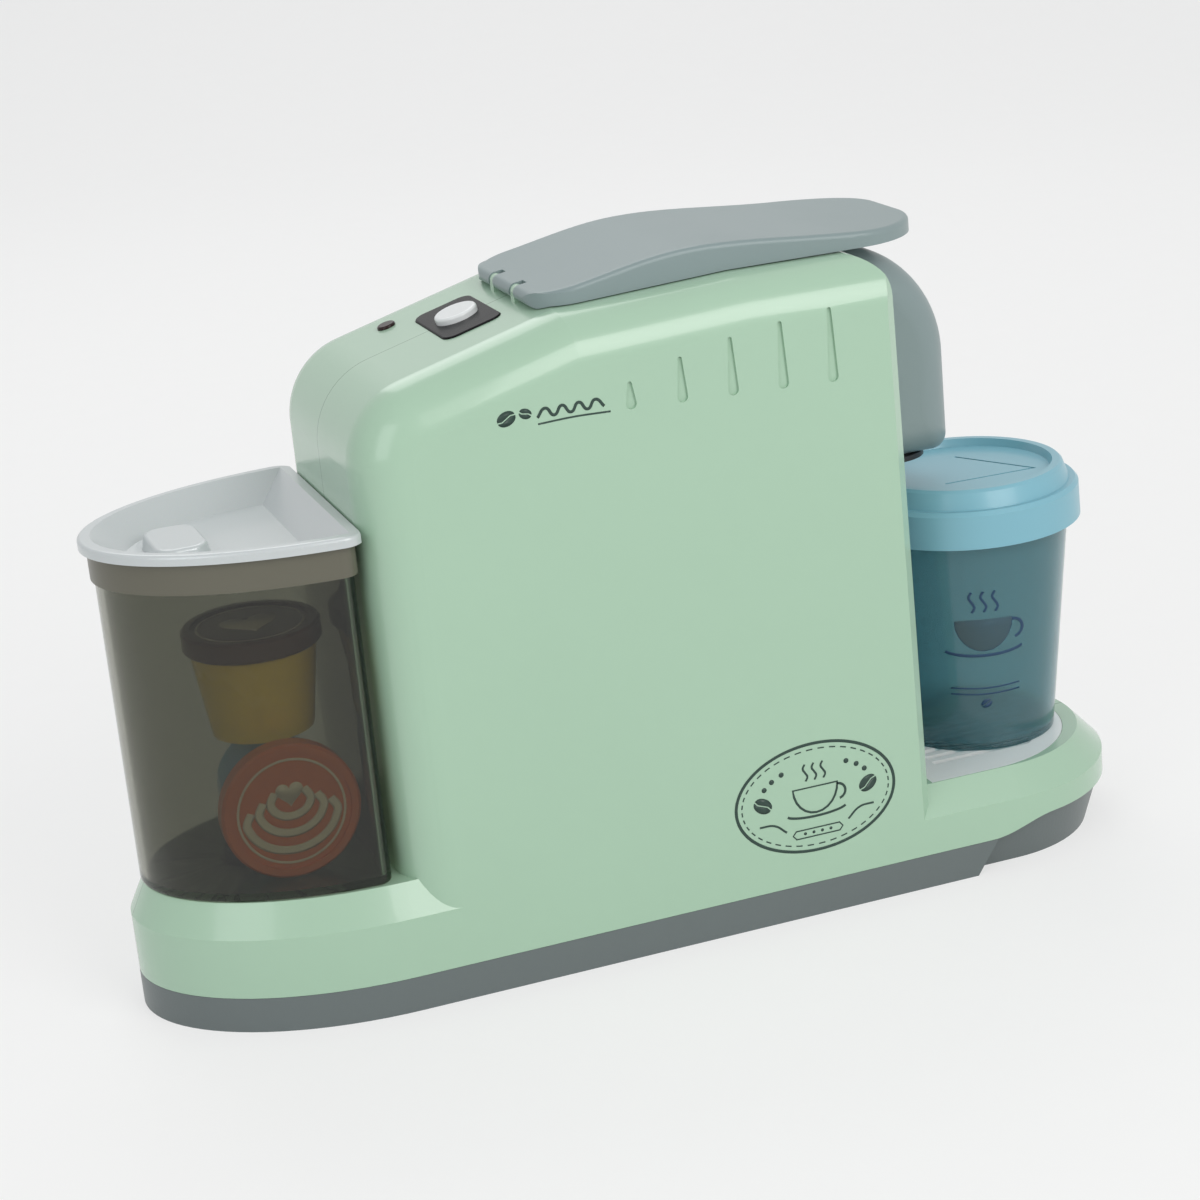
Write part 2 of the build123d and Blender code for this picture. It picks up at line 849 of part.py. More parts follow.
with BuildPart() as battery_door:
    with BuildSketch():
        with Locations((battery_x, 0)):
            Rectangle(
                bay_outer_length + 2 * door_lip - 2 - 2 * fit_gap,
                bay_outer_width + 2 * door_lip - 2 - 2 * fit_gap,
            )
        with Locations((battery_x, 0)):
            Rectangle(
                door_tab_reach - fit_gap,
                door_tab_width - 2 * fit_gap,
                align=(Align.MIN, Align.CENTER),
            )
    extrude(amount=door_thickness)
    with BuildSketch():
        with Locations((door_screw_x, 0)):
            Circle(screw_radius + slip_gap)
    extrude(amount=door_thickness, mode=Mode.SUBTRACT)
    with BuildSketch():
        with Locations((door_screw_x, 0)):
            Circle(small_head_radius + slip_gap)
    extrude(amount=door_thickness / 2, mode=Mode.SUBTRACT)


def screw(plane, shank, length, head, head_height):
    """Cross-head screw whose head stands on the plane and whose shank goes down."""
    crown = plane.offset(head_height)
    with BuildPart() as bolt:
        add(rod(plane, head, head_height))
        chamfer(bolt.edges().filter_by(GeomType.CIRCLE), length=head_height / 4)
        add(rod(plane, shank, -length))
        with BuildSketch(crown):
            Rectangle(head * 1.3, head * 0.28)
            Rectangle(head * 0.28, head * 1.3)
        extrude(amount=-head_height * 0.45, mode=Mode.SUBTRACT)
    return bolt.part


with BuildPart() as battery_door_screw:
    door_screw_seat = Plane((door_screw_x, 0, door_thickness / 2), z_dir=(0, 0, -1))
    add(screw(door_screw_seat, screw_radius, small_screw_length, small_head_radius, door_thickness / 2 - slip_gap))

with BuildPart() as base_screws:
    for x, y in base_screw_spots:
        seat = Plane((x, y, base_floor + screw_head_height), z_dir=(0, 0, -1))
        add(screw(seat, screw_radius, base_screw_length - 6, screw_head_radius, screw_head_height))

with BuildPart() as shell_screws:
    for x, z in shell_screw_spots:
        seat = Plane((x, shell_screw_head_y, z), z_dir=(0, 1, 0))
        add(screw(seat, screw_radius, shell_screw_length, screw_head_radius, screw_head_height))

# ---------------------------------------------------------------- batteries, board and speaker
battery_spots = [
    battery_x + (number - (battery_count - 1) / 2) * battery_pitch for number in range(battery_count)
]

with BuildPart() as batteries:
    for number, x in enumerate(battery_spots):
        way = 1 if number % 2 else -1
        can = Plane((x, -way * battery_length / 2, battery_z), z_dir=(0, way, 0))
        add(rod(can, battery_radius, battery_length - 1.2))
        tip = Plane((x, way * (battery_length / 2 - 1.2), battery_z), z_dir=(0, way, 0))
        add(rod(tip, 2.7, 1.2))

with BuildPart() as battery_contacts:
    for x in battery_spots:
        for side in (-1, 1):
            near = side * (battery_length / 2 + slip_gap / 2)
            far = side * (battery_bay_width / 2)
            low = (x - contact_width / 2, min(near, far), battery_z - contact_height / 2)
            high = (x + contact_width / 2, max(near, far), battery_z + contact_height / 2)
            add(box_between(low, high))

with BuildPart() as circuit_board:
    with BuildSketch(Plane.XY.offset(board_z)):
        with Locations((battery_x, 0)):
            RectangleRounded(board_length, board_width, 2.0)
        with Locations(*board_post_spots):
            Circle(small_screw_radius + slip_gap, mode=Mode.SUBTRACT)
    extrude(amount=board_thickness)
    # chips and the sound potting on top
    with BuildSketch(Plane.XY.offset(board_z + board_thickness)):
        with Locations((battery_x + board_length * 0.09, board_width * 0.09)):
            Rectangle(board_length * 0.15, board_width * 0.14)
        with Locations((battery_x - board_length * 0.12, -board_width * 0.14)):
            Circle(board_width * 0.11)
        with Locations((battery_x + board_length * 0.3, -board_width * 0.2)):
            Rectangle(board_length * 0.09, board_width * 0.11)
    extrude(amount=chip_height)

with BuildPart() as board_screws:
    for x, y in board_post_spots:
        seat = Plane((x, y, board_z + board_thickness))
        add(screw(seat, small_screw_radius, small_screw_length, small_head_radius, small_head_height))

with BuildPart() as speaker:
    with BuildSketch(Plane.XY.offset(base_floor)):
        with Locations((speaker_x, 0)):
            Circle(speaker_radius)
    extrude(amount=speaker_height * 0.3)
    with BuildSketch(Plane.XY.offset(base_floor + speaker_height * 0.3)):
        with Locations((speaker_x, 0)):
            Circle(speaker_radius - 3.0)
    extrude(amount=speaker_height * 0.35, taper=35)
    with BuildSketch(Plane.XY.offset(base_floor + speaker_height * 0.6)):
        with Locations((speaker_x, 0)):
            Circle(speaker_radius * 0.55)
    extrude(amount=speaker_height * 0.4)

# ---------------------------------------------------------------- pump and motor
pump_axis = Plane((pump_x, 0, 0))
inlet_port = Plane((pump_x - pump_radius + pump_wall / 2, 0, pump_port_z), z_dir=(-1, 0, 0))
outlet_port = Plane((pump_x, pump_radius - pump_wall / 2, pump_port_z), z_dir=(0, 1, 0))
port_length = pump_port_reach + pump_wall / 2

with BuildPart() as pump_housing:
    add(rod(pump_axis.offset(pump_bottom_z), pump_radius, pump_top_z - pump_bottom_z))
    for port in (inlet_port, outlet_port):
        add(rod(port, nipple_radius, port_length))
    add(
        rod(
            pump_axis.offset(pump_bottom_z + pump_wall),
            pump_radius - pump_wall,
            pump_top_z - pump_bottom_z,
        ),
        mode=Mode.SUBTRACT,
    )
    for port in (inlet_port, outlet_port):
        add(rod(port.offset(-pump_wall), nipple_bore, port_length + pump_wall), mode=Mode.SUBTRACT)

with BuildPart() as pump_cover:
    add(rod(pump_axis.offset(pump_top_z), pump_radius, pump_cover_thickness, shaft_radius + slip_gap))

with BuildPart() as pump_motor:
    add(rod(pump_axis.offset(motor_foot_z), motor_radius, motor_height, shaft_radius + slip_gap))
    chamfer(pump_motor.edges().filter_by(GeomType.CIRCLE).sort_by(SortBy.RADIUS)[-2:], length=0.8)
    with BuildSketch(pump_axis.offset(motor_foot_z)):
        with Locations((1.5 * motor_radius - motor_flat, 0), (motor_flat - 1.5 * motor_radius, 0)):
            Rectangle(motor_radius, 4 * motor_radius)
    extrude(amount=motor_height, mode=Mode.SUBTRACT)

impeller_foot_z = pump_bottom_z + pump_wall + 1.2

with BuildPart() as motor_shaft:
    shaft_foot_z = impeller_foot_z - 0.4
    shaft_top_z = motor_foot_z + motor_height - 3
    add(rod(pump_axis.offset(shaft_foot_z), shaft_radius, shaft_top_z - shaft_foot_z))

with BuildPart() as pump_impeller:
    add(rod(pump_axis.offset(impeller_foot_z), impeller_hub_radius, impeller_height))
    with BuildSketch(pump_axis.offset(impeller_foot_z)):
        with PolarLocations(impeller_hub_radius + 4.0, impeller_blades):
            Rectangle(2 * (impeller_radius - impeller_hub_radius - 4.0), blade_thickness)
    extrude(amount=impeller_height)
    add(rod(pump_axis.offset(impeller_foot_z), shaft_radius, impeller_height), mode=Mode.SUBTRACT)

# ---------------------------------------------------------------- tank, collar, lid and valve


def tank_plan(outset):
    """Plan of the tank: flat at the tower, half an ellipse behind it."""
    with BuildSketch() as plan:
        with Locations((tank_front_x + outset, 0)):
            Ellipse(tank_reach + 2 * outset, tank_half_width + outset)
            Rectangle(
                2 * tank_reach, 3 * tank_half_width, align=(Align.MIN, Align.CENTER), mode=Mode.SUBTRACT
            )
    return plan.sketch


def tank_slab(outset, low, high):
    """Upright block with the plan of the tank and round corners at the tower."""
    with BuildPart() as slab:
        with BuildSketch(Plane.XY.offset(low)):
            add(tank_plan(outset))
        extrude(amount=high - low)
        fillet(slab.edges().filter_by(Axis.Z), radius=tank_corner + outset * 0.5)
    return slab.part


valve_axis = Plane((valve_x, 0, 0))
tank_floor_z = rear_foot_top + tank_floor
dock_top_z = rear_foot_top - wall

with BuildPart() as water_tank:
    add(tank_slab(0, rear_foot_top, tank_top_z))
    fillet(water_tank.faces().sort_by(Axis.Z)[0].edges(), radius=1.2)
    add(tank_slab(-tank_wall, tank_floor_z, tank_top_z + 1), mode=Mode.SUBTRACT)
    drain = rod(valve_axis.offset(rear_foot_top - 1), seal_stem_radius + slip_gap, tank_floor + 2)
    add(drain, mode=Mode.SUBTRACT)

with BuildPart() as tank_seal:
    add(rod(valve_axis.offset(tank_floor_z), seal_radius, seal_flange))
    add(rod(valve_axis.offset(rear_foot_top - seal_drop), seal_stem_radius, seal_drop + tank_floor))
    chamfer(tank_seal.edges().group_by(Axis.Z)[0], length=1.2)

with BuildPart() as dock_socket:
    add(rod(valve_axis.offset(base_floor), dock_radius, dock_top_z - base_floor))
    dock_port = Plane((valve_x + dock_radius - dock_wall / 2, 0, pump_port_z), z_dir=(1, 0, 0))
    add(rod(dock_port, nipple_radius, port_length))
    add(
        rod(valve_axis.offset(base_floor + dock_wall), dock_radius - dock_wall, dock_top_z),
        mode=Mode.SUBTRACT,
    )
    add(rod(dock_port.offset(-dock_wall), nipple_bore, port_length + dock_wall), mode=Mode.SUBTRACT)

with BuildPart() as tank_collar:
    add(tank_slab(collar_outset, tank_top_z, collar_top_z))
    add(tank_slab(collar_outset - collar_wall, tank_top_z, collar_top_z), mode=Mode.SUBTRACT)

lid_top_z = collar_top_z + lid_plate
pan_floor_z = lid_top_z - pan_depth

with BuildPart() as tank_lid:
    add(tank_slab(lid_outset, collar_top_z, lid_top_z))
    fillet(tank_lid.faces().sort_by(Axis.Z)[-1].edges(), radius=1.0)
    add(tank_slab(collar_outset - collar_wall - fit_gap, pan_floor_z - pan_floor, collar_top_z))
    add(
        box_between((tower_rear_x - lid_front_gap, -60, 100), (tower_rear_x + 20, 60, 150)),
        mode=Mode.SUBTRACT,
    )
    with BuildPart(mode=Mode.PRIVATE) as pan:
        for height, inset in ((lid_top_z, pan_inset), (pan_floor_z, pan_inset + pan_slope)):
            with BuildSketch(Plane.XY.offset(height)):
                add(tank_plan(lid_outset - inset))
        loft()
    add(pan.part, mode=Mode.SUBTRACT)
    grip_x = tank_front_x - tank_reach + pan_inset + pan_slope + grip_length / 2 + 3.0
    with BuildPart(mode=Mode.PRIVATE) as grip:
        with BuildSketch(Plane.XY.offset(pan_floor_z - 0.5)):
            with Locations((grip_x, 0)):
                RectangleRounded(grip_length, grip_width, 6.0)
        extrude(amount=grip_height + 0.5, taper=12)
        fillet(grip.faces().sort_by(Axis.Z)[-1].edges(), radius=1.2)
    add(grip.part)

# ---------------------------------------------------------------- spout, nozzle and niche
with BuildPart() as spout_housing:
    add(spout_form(0))
    with BuildSketch(Plane.YZ.offset(spout_flange_x - spout_flange)):
        with Locations((0, niche_top_z + spout_flange_foot)):
            Rectangle(
                2 * (spout_half_width + spout_flange_reach),
                spout_flange_height,
                align=(Align.CENTER, Align.MIN),
            )
    extrude(amount=spout_flange)
    add(spout_form(spout_wall), mode=Mode.SUBTRACT)
    with BuildSketch(Plane.XY.offset(spout_bottom_z - 1)):
        with Locations((nozzle_x, 0)):
            Circle(nozzle_radius - 2.0 + slip_gap)
    extrude(amount=spout_wall + 2, mode=Mode.SUBTRACT)

nozzle_axis = Plane((nozzle_x, 0, 0))
feed_start = Plane((nozzle_x, 0, nozzle_feed_z), z_dir=(-1, 0, 0))
feed_length = nozzle_x - spout_flange_x + pump_port_reach

nozzle_foot = nozzle_axis.offset(spout_bottom_z - nozzle_drop)
nozzle_seat = nozzle_axis.offset(spout_bottom_z)
riser = nozzle_feed_z - spout_bottom_z

with BuildPart() as nozzle:
    add(rod(nozzle_foot, nozzle_radius, nozzle_drop))
    add(rod(nozzle_seat, nozzle_radius - 2.0, spout_wall + 1))
    add(rod(nozzle_seat, nipple_radius + 1, riser + nipple_radius + 1))
    add(rod(feed_start, nipple_radius, feed_length))
    add(rod(nozzle_foot, nozzle_bore, nozzle_drop + 1), mode=Mode.SUBTRACT)
    add(rod(nozzle_seat, nipple_bore, riser), mode=Mode.SUBTRACT)
    add(rod(feed_start, nipple_bore, feed_length), mode=Mode.SUBTRACT)

with BuildPart() as niche_panel:
    add(tower_form(0))
    add(tower_form(niche_depth), mode=Mode.SUBTRACT)
    add(niche_slab(fit_gap), mode=Mode.INTERSECT)

# ---------------------------------------------------------------- chamber under the lever
opening_middle_x = (opening_rear_x + opening_front_x) / 2

with BuildPart() as chamber_deck:
    with BuildSketch(Plane.XY.offset(ledge_z)):
        with Locations((opening_middle_x, 0)):
            RectangleRounded(
                opening_front_x - opening_rear_x - 2 * fit_gap,
                2 * opening_half_width - 2 * fit_gap,
                opening_corner - fit_gap,
            )
        with Locations((chamber_x, 0)):
            Circle(chamber_bore_radius + chamber_wall + fit_gap, mode=Mode.SUBTRACT)
    extrude(amount=deck_thickness)

chamber_axis = Plane((chamber_x, 0, 0))
chamber_rim_z = deck_top_z + chamber_flange_thickness
chamber_floor_z = chamber_rim_z - chamber_bore_depth

with BuildPart() as capsule_chamber:
    add(
        rod(
            chamber_axis.offset(chamber_floor_z - chamber_wall),
            chamber_bore_radius + chamber_wall,
            chamber_bore_depth + chamber_wall,
        )
    )
    add(
        rod(
            chamber_axis.offset(deck_top_z),
            chamber_bore_radius + chamber_wall + chamber_flange,
            chamber_flange_thickness,
        )
    )
    pocket = rod(chamber_axis.offset(chamber_floor_z), chamber_bore_radius, chamber_bore_depth)
    add(pocket, mode=Mode.SUBTRACT)
    add(rod(chamber_axis.offset(chamber_floor_z - 5), nipple_radius, 10.0), mode=Mode.SUBTRACT)

# ---------------------------------------------------------------- lever


def lever_plan(inset):
    """Plan of the lever: a tongue with rounded ends."""
    rear = hinge_x - hinge_barrel_radius + inset
    tip = lever_tip_x - inset
    with BuildSketch() as plan:
        with Locations(((rear + tip) / 2, 0)):
            Rectangle(tip - rear, 2 * (lever_half_width - inset))
        ends = plan.vertices().group_by(Axis.X)
        fillet(ends[0], radius=lever_rear_radius - inset)
        tips = plan.vertices().group_by(Axis.X)[-1]
        fillet(tips, radius=lever_tip_radius - inset)
    return plan.sketch


def under_crest(lowered):
    """Everything under the lever's top line, as a block right across."""
    with BuildPart() as block:
        with BuildSketch(Plane.XZ):
            with BuildLine():
                crest = Spline(
                    (hinge_x, hinge_z + hinge_barrel_radius - lowered),
                    *[(x, z - lowered) for x, z in lever_crest],
                    (lever_tip_x, lever_tip_top - lowered),
                )
                front = Line(crest @ 1, (lever_tip_x, 100))
                foot = Line(front @ 1, (hinge_x - 10, 100))
                rear = Line(foot @ 1, (hinge_x - 10, hinge_z + hinge_barrel_radius - lowered))
                Line(rear @ 1, crest @ 0)
            make_face()
        extrude(amount=half_width, both=True)
    return block.part


def lever_floor():
    """Everything below the lever's lower edge, which follows the tower's crown."""
    with BuildPart() as block:
        with BuildSketch(Plane.XZ):
            Polygon(
                (hinge_x - 20, deck_height(hinge_x - 20) + running_gap),
                (deck_front_x, deck_front_z + running_gap),
                (crown_x, crown_z + running_gap),
                (lever_tip_x + 5, crown_z + running_gap),
                (lever_tip_x + 5, 100),
                (hinge_x - 20, 100),
                align=None,
            )
        extrude(amount=half_width, both=True)
    return block.part


def lever_form(inset):
    """The lever as a solid block with its top lowered and its sides moved in."""
    with BuildPart() as form:
        with BuildSketch():
            add(lever_plan(inset))
        extrude(amount=crown_z + 20)
        add(under_crest(inset), mode=Mode.INTERSECT)
    return form.part


with BuildPart() as lever:
    add(lever_form(0))
    crest = lever.faces().filter_by(lambda f: f.normal_at(f.center()).Z > 0.7 and f.center().Z > crown_z)
    fillet(crest.edges().filter_by(lambda e: e.center().X > hinge_x + 1), radius=lever_edge_radius)
    add(lever_floor(), mode=Mode.SUBTRACT)
    # the rear edge is round about the hinge pin
    with BuildSketch(side_plane(half_width)):
        with Locations((hinge_x, hinge_z)):
            Rectangle(20.0, 20.0, align=(Align.MAX, Align.CENTER))
            Circle(hinge_barrel_radius, mode=Mode.SUBTRACT)
    extrude(amount=2 * half_width, mode=Mode.SUBTRACT)
    with BuildPart(mode=Mode.PRIVATE) as hollow:
        add(lever_form(lever_wall))
        add(
            box_between(
                (-overall_length, -2 * half_width, 0),
                (hinge_x + hinge_barrel_radius + lever_wall / 2, 2 * half_width, overall_length),
            ),
            mode=Mode.SUBTRACT,
        )
    add(hollow.part, mode=Mode.SUBTRACT)
    for side in (-1, 1):
        slot = hinge_ear_width / 2 + running_gap
        y = side * hinge_ear_y
        add(
            box_between(
                (hinge_x - 5, y - slot, hinge_z - 5),
                (hinge_x + hinge_ear_radius + running_gap, y + slot, hinge_z + 5),
            ),
            mode=Mode.SUBTRACT,
        )
    with BuildSketch(side_plane(hinge_pin_half_length + running_gap)):
        with Locations((hinge_x, hinge_z)):
            Circle(hinge_pin_radius + hinge_pin_clearance)
    extrude(amount=2 * (hinge_pin_half_length + running_gap), mode=Mode.SUBTRACT)

with BuildPart() as lever_pin:
    add(
        rod(
            Plane((hinge_x, hinge_pin_half_length, hinge_z), z_dir=(0, -1, 0)),
            hinge_pin_radius,
            2 * hinge_pin_half_length,
        )
    )

with BuildPart() as capsule_plunger:
    add(rod(chamber_axis.offset(plunger_tip_z), plunger_radius, 40.0, plunger_radius - 3.0))
    add(rod(chamber_axis.offset(plunger_tip_z), plunger_radius, 2.0))
    add(under_crest(lever_wall), mode=Mode.INTERSECT)

# ---------------------------------------------------------------- control panel and button
panel_plane = deck_plane(panel_x)
well_length = panel_length - 2 * panel_lip
well_width = panel_width - 2 * panel_lip
button_hole = button_radius + fit_gap
flange_top = -panel_sink - button_shoulder
stem_foot = -panel_well_depth + pad_height + button_travel + 0.1

with BuildPart() as control_panel:
    with BuildSketch(panel_plane.offset(-panel_sink)):
        RectangleRounded(panel_length, panel_width, panel_corner)
    extrude(amount=panel_sink + panel_proud)
    fillet(control_panel.faces().sort_by(Axis.Z)[-1].edges(), radius=0.4)
    with BuildSketch(panel_plane.offset(-panel_well_depth)):
        RectangleRounded(well_length, well_width, panel_corner - panel_lip - 0.2)
        RectangleRounded(
            well_length - 2 * panel_well_wall, well_width - 2 * panel_well_wall, 1.6, mode=Mode.SUBTRACT
        )
    extrude(amount=panel_well_depth - panel_sink)
    add(rod(panel_plane.offset(-panel_sink - 1), button_hole, 5.0), mode=Mode.SUBTRACT)

with BuildPart() as power_button:
    add(rod(panel_plane.offset(flange_top), button_radius, button_proud - flange_top))
    fillet(power_button.edges().filter_by(GeomType.CIRCLE).sort_by(Axis.Z)[-1], radius=0.8)
    add(
        rod(
            panel_plane.offset(flange_top - button_flange_thickness),
            button_radius + button_flange,
            button_flange_thickness,
        )
    )
    add(rod(panel_plane.offset(stem_foot), button_stem_radius, flange_top - stem_foot))

with BuildPart() as button_pad:
    add(rod(panel_plane.offset(-panel_well_depth), pad_radius, pad_height))

with BuildPart() as button_board:
    with BuildSketch(panel_plane.offset(-panel_well_depth - button_board_thickness)):
        RectangleRounded(
            well_length - 2 * fit_gap, well_width - 2 * button_board_margin, 1.0
        )
    extrude(amount=button_board_thickness)

with BuildPart() as indicator_lens:
    lens_seat = deck_plane(lens_x, -wall, lens_y)
    add(rod(lens_seat, lens_radius, wall + lens_proud))
    fillet(indicator_lens.edges().filter_by(GeomType.CIRCLE).sort_by(Axis.Z)[-1], radius=0.6)
    add(rod(lens_seat.offset(-lens_flange), lens_radius + lens_flange, lens_flange))

# ---------------------------------------------------------------- drip tray and cup
pan_outset = -tray_seat - fit_gap
pan_foot_z = front_foot_top - tray_depth

with BuildPart() as drip_tray:
    with BuildSketch(Plane.XY.offset(front_foot_top - tray_rim_thickness)):
        add(tray_outline(0))
    extrude(amount=tray_rim_thickness)
    with BuildSketch(Plane.XY.offset(pan_foot_z)):
        add(tray_outline(pan_outset))
    extrude(amount=tray_depth - tray_rim_thickness)
    with BuildSketch(Plane.XY.offset(pan_foot_z + tray_wall)):
        add(tray_outline(pan_outset - tray_wall))
    extrude(amount=tray_depth - tray_wall - tray_rim_thickness, mode=Mode.SUBTRACT)
    with BuildPart(mode=Mode.PRIVATE) as slats:
        with BuildSketch(Plane.XY.offset(pan_foot_z + tray_wall)):
            with GridLocations(0, slat_pitch, 1, slat_count):
                with Locations((tray_x, 0)):
                    Rectangle(4 * tray_radius, slat_width)
        extrude(amount=tray_depth)
        with BuildSketch(Plane.XY.offset(pan_foot_z)):
            add(tray_outline(pan_outset - tray_wall - 3.0))
        extrude(amount=2 * tray_depth, mode=Mode.INTERSECT)
    add(slats.part, mode=Mode.SUBTRACT)

cup_axis = Plane((cup_x, 0, cup_foot_z), x_dir=(1, 0, 0), z_dir=(0, -1, 0))
rim_bead_radius = lid_skirt_radius - lid_wall - slip_gap
lid_base_z = cup_height


def turned(points):
    """Solid of revolution about the cup's axis from radius and height pairs."""
    with BuildPart() as body:
        with BuildSketch(cup_axis):
            Polygon(*points, align=None)
        revolve(axis=Axis((cup_x, 0, 0), (0, 0, 1)))
    return body.part


with BuildPart() as cup:
    add(
        turned(
            [
                (0, 0),
                (cup_foot_radius, 0),
                (cup_mouth_radius - 0.25, cup_height - 2.5),
                (rim_bead_radius, cup_height - 2.2),
                (rim_bead_radius, cup_height),
                (cup_mouth_radius - cup_wall, cup_height),
                (cup_foot_radius - cup_wall, cup_floor),
                (0, cup_floor),
            ]
        )
    )

with BuildPart() as cup_lid:
    crown_z_top = lid_base_z + lid_roof + lid_crown_height
    sink_z = crown_z_top - lid_sink
    add(
        turned(
            [
                (lid_skirt_radius - lid_wall, lid_base_z - lid_skirt_drop),
                (lid_skirt_radius, lid_base_z - lid_skirt_drop),
                (lid_skirt_radius - 0.2, lid_base_z + lid_roof - 1.2),
                (lid_skirt_radius - 1.2, lid_base_z + lid_roof),
                (lid_shoulder_radius, lid_base_z + lid_roof),
                (lid_crown_radius + 0.8, crown_z_top - 0.8),
                (lid_crown_radius, crown_z_top),
                (lid_crown_radius - lid_rim_width, crown_z_top),
                (lid_crown_radius - lid_rim_width - 0.8, sink_z),
                (0, sink_z),
                (0, sink_z - lid_roof),
                (lid_crown_radius - 1.2, sink_z - lid_roof),
                (lid_shoulder_radius - 1.8, lid_base_z),
                (lid_skirt_radius - lid_wall, lid_base_z),
            ]
        )
    )
    # tear-back tab: two slits that meet near the rim, on the side turned to the drinker
    tab = Location((cup_x, 0, 0), (0, 0, lid_tab_turn)) * Location((lid_tab_reach * lid_crown_radius, 0, 0))
    for side in (-1, 1):
        with BuildSketch(Plane.XY.offset(cup_foot_z + sink_z - lid_roof - 1)):
            with Locations(tab * Location((0, side * 0.2, 0), (0, 0, side * lid_tab_angle))):
                Rectangle(lid_crown_radius, lid_slit_width, align=(Align.MAX, Align.CENTER))
        extrude(amount=lid_roof + 2, mode=Mode.SUBTRACT)

# ---------------------------------------------------------------- capsules


def capsule_shell(axis_plane):
    """Tapered pod body: the plane is its small end, the rim is up."""
    tall = capsule_height - capsule_cap_height
    with BuildPart() as pod:
        with BuildSketch(axis_plane):
            Circle(capsule_foot_radius)
        with BuildSketch(axis_plane.offset(tall)):
            Circle(capsule_shoulder_radius)
        loft()
        with BuildSketch(axis_plane.offset(capsule_wall)):
            Circle(capsule_foot_radius - capsule_wall)
        with BuildSketch(axis_plane.offset(tall)):
            Circle(capsule_shoulder_radius - capsule_wall)
        loft(mode=Mode.SUBTRACT)
    return pod.part


def capsule_lid(axis_plane):
    """Cap ring with a sunk disc, on the rim of the pod."""
    rim = axis_plane.offset(capsule_height - capsule_cap_height)
    with BuildPart() as cap:
        add(rod(rim, capsule_rim_radius, capsule_cap_height))
        chamfer(cap.edges().filter_by(GeomType.CIRCLE), length=0.7)
        add(
            rod(rim.offset(capsule_cap_height - 0.6), capsule_rim_radius - 2.6, 1.0),
            mode=Mode.SUBTRACT,
        )
        add(rod(rim, capsule_shoulder_radius - capsule_wall - 0.2, 3.0), mode=Mode.SUBTRACT)
    return cap.part


lying_z = tank_floor_z + capsule_rim_radius + slip_gap
blue_seat = Plane((capsule_x, capsule_tail_y, lying_z), z_dir=(0, -1, 0))
yellow_seat = Plane((capsule_x, capsule_stand_y, capsule_stand_z))
red_seat = chamber_axis.offset(chamber_floor_z)

with BuildPart() as blue_capsule:
    add(capsule_shell(blue_seat))
with BuildPart() as blue_capsule_cap:
    add(capsule_lid(blue_seat))
with BuildPart() as red_capsule:
    add(capsule_shell(red_seat))
with BuildPart() as red_capsule_cap:
    add(capsule_lid(red_seat))
with BuildPart() as yellow_capsule:
    add(capsule_shell(yellow_seat))
with BuildPart() as yellow_capsule_cap:
    add(capsule_lid(yellow_seat))

# ---------------------------------------------------------------- water tubes
tube_bore = nipple_radius + slip_gap
tube_radius = tube_bore + tube_wall

with BuildPart() as inlet_tube:
    tube_start = Plane((valve_x + dock_radius + slip_gap, 0, pump_port_z), z_dir=(1, 0, 0))
    tube_length = pump_x - pump_radius - valve_x - dock_radius - 2 * slip_gap
    add(rod(tube_start, tube_radius, tube_length, tube_bore))

tube_rise = nozzle_feed_z - pump_port_z
tube_run = nozzle_x - feed_length - tube_straight - pump_x
bend_y = pump_radius + pump_port_reach + 2 * tube_radius
outlet_route = [
    (pump_x, pump_radius + slip_gap, pump_port_z),
    (pump_x, bend_y, pump_port_z),
    (pump_x + 0.06 * tube_run, bend_y + tube_wall, pump_port_z + 0.21 * tube_rise),
    (pump_x + 0.16 * tube_run, 0.95 * bend_y, pump_port_z + 0.47 * tube_rise),
    (pump_x + 0.35 * tube_run, 0.85 * bend_y, pump_port_z + 0.72 * tube_rise),
    (pump_x + 0.61 * tube_run, 0.67 * bend_y, pump_port_z + 0.9 * tube_rise),
    (pump_x + tube_run, 0, nozzle_feed_z),
    (nozzle_x - nipple_radius - tube_wall, 0, nozzle_feed_z),
]

with BuildPart() as outlet_tube:
    add(tube_along(outlet_route, tube_radius, "outlet tube", tube_bore))

# ---------------------------------------------------------------- wires
board_top = board_z + board_thickness
wire_radius = wire_diameter / 2
motor_top = motor_foot_z + motor_height
board_rear_x = battery_x - board_length / 2
board_front_x = battery_x + board_length / 2
button_foot = deck_plane(panel_x, -panel_well_depth - button_board_thickness)

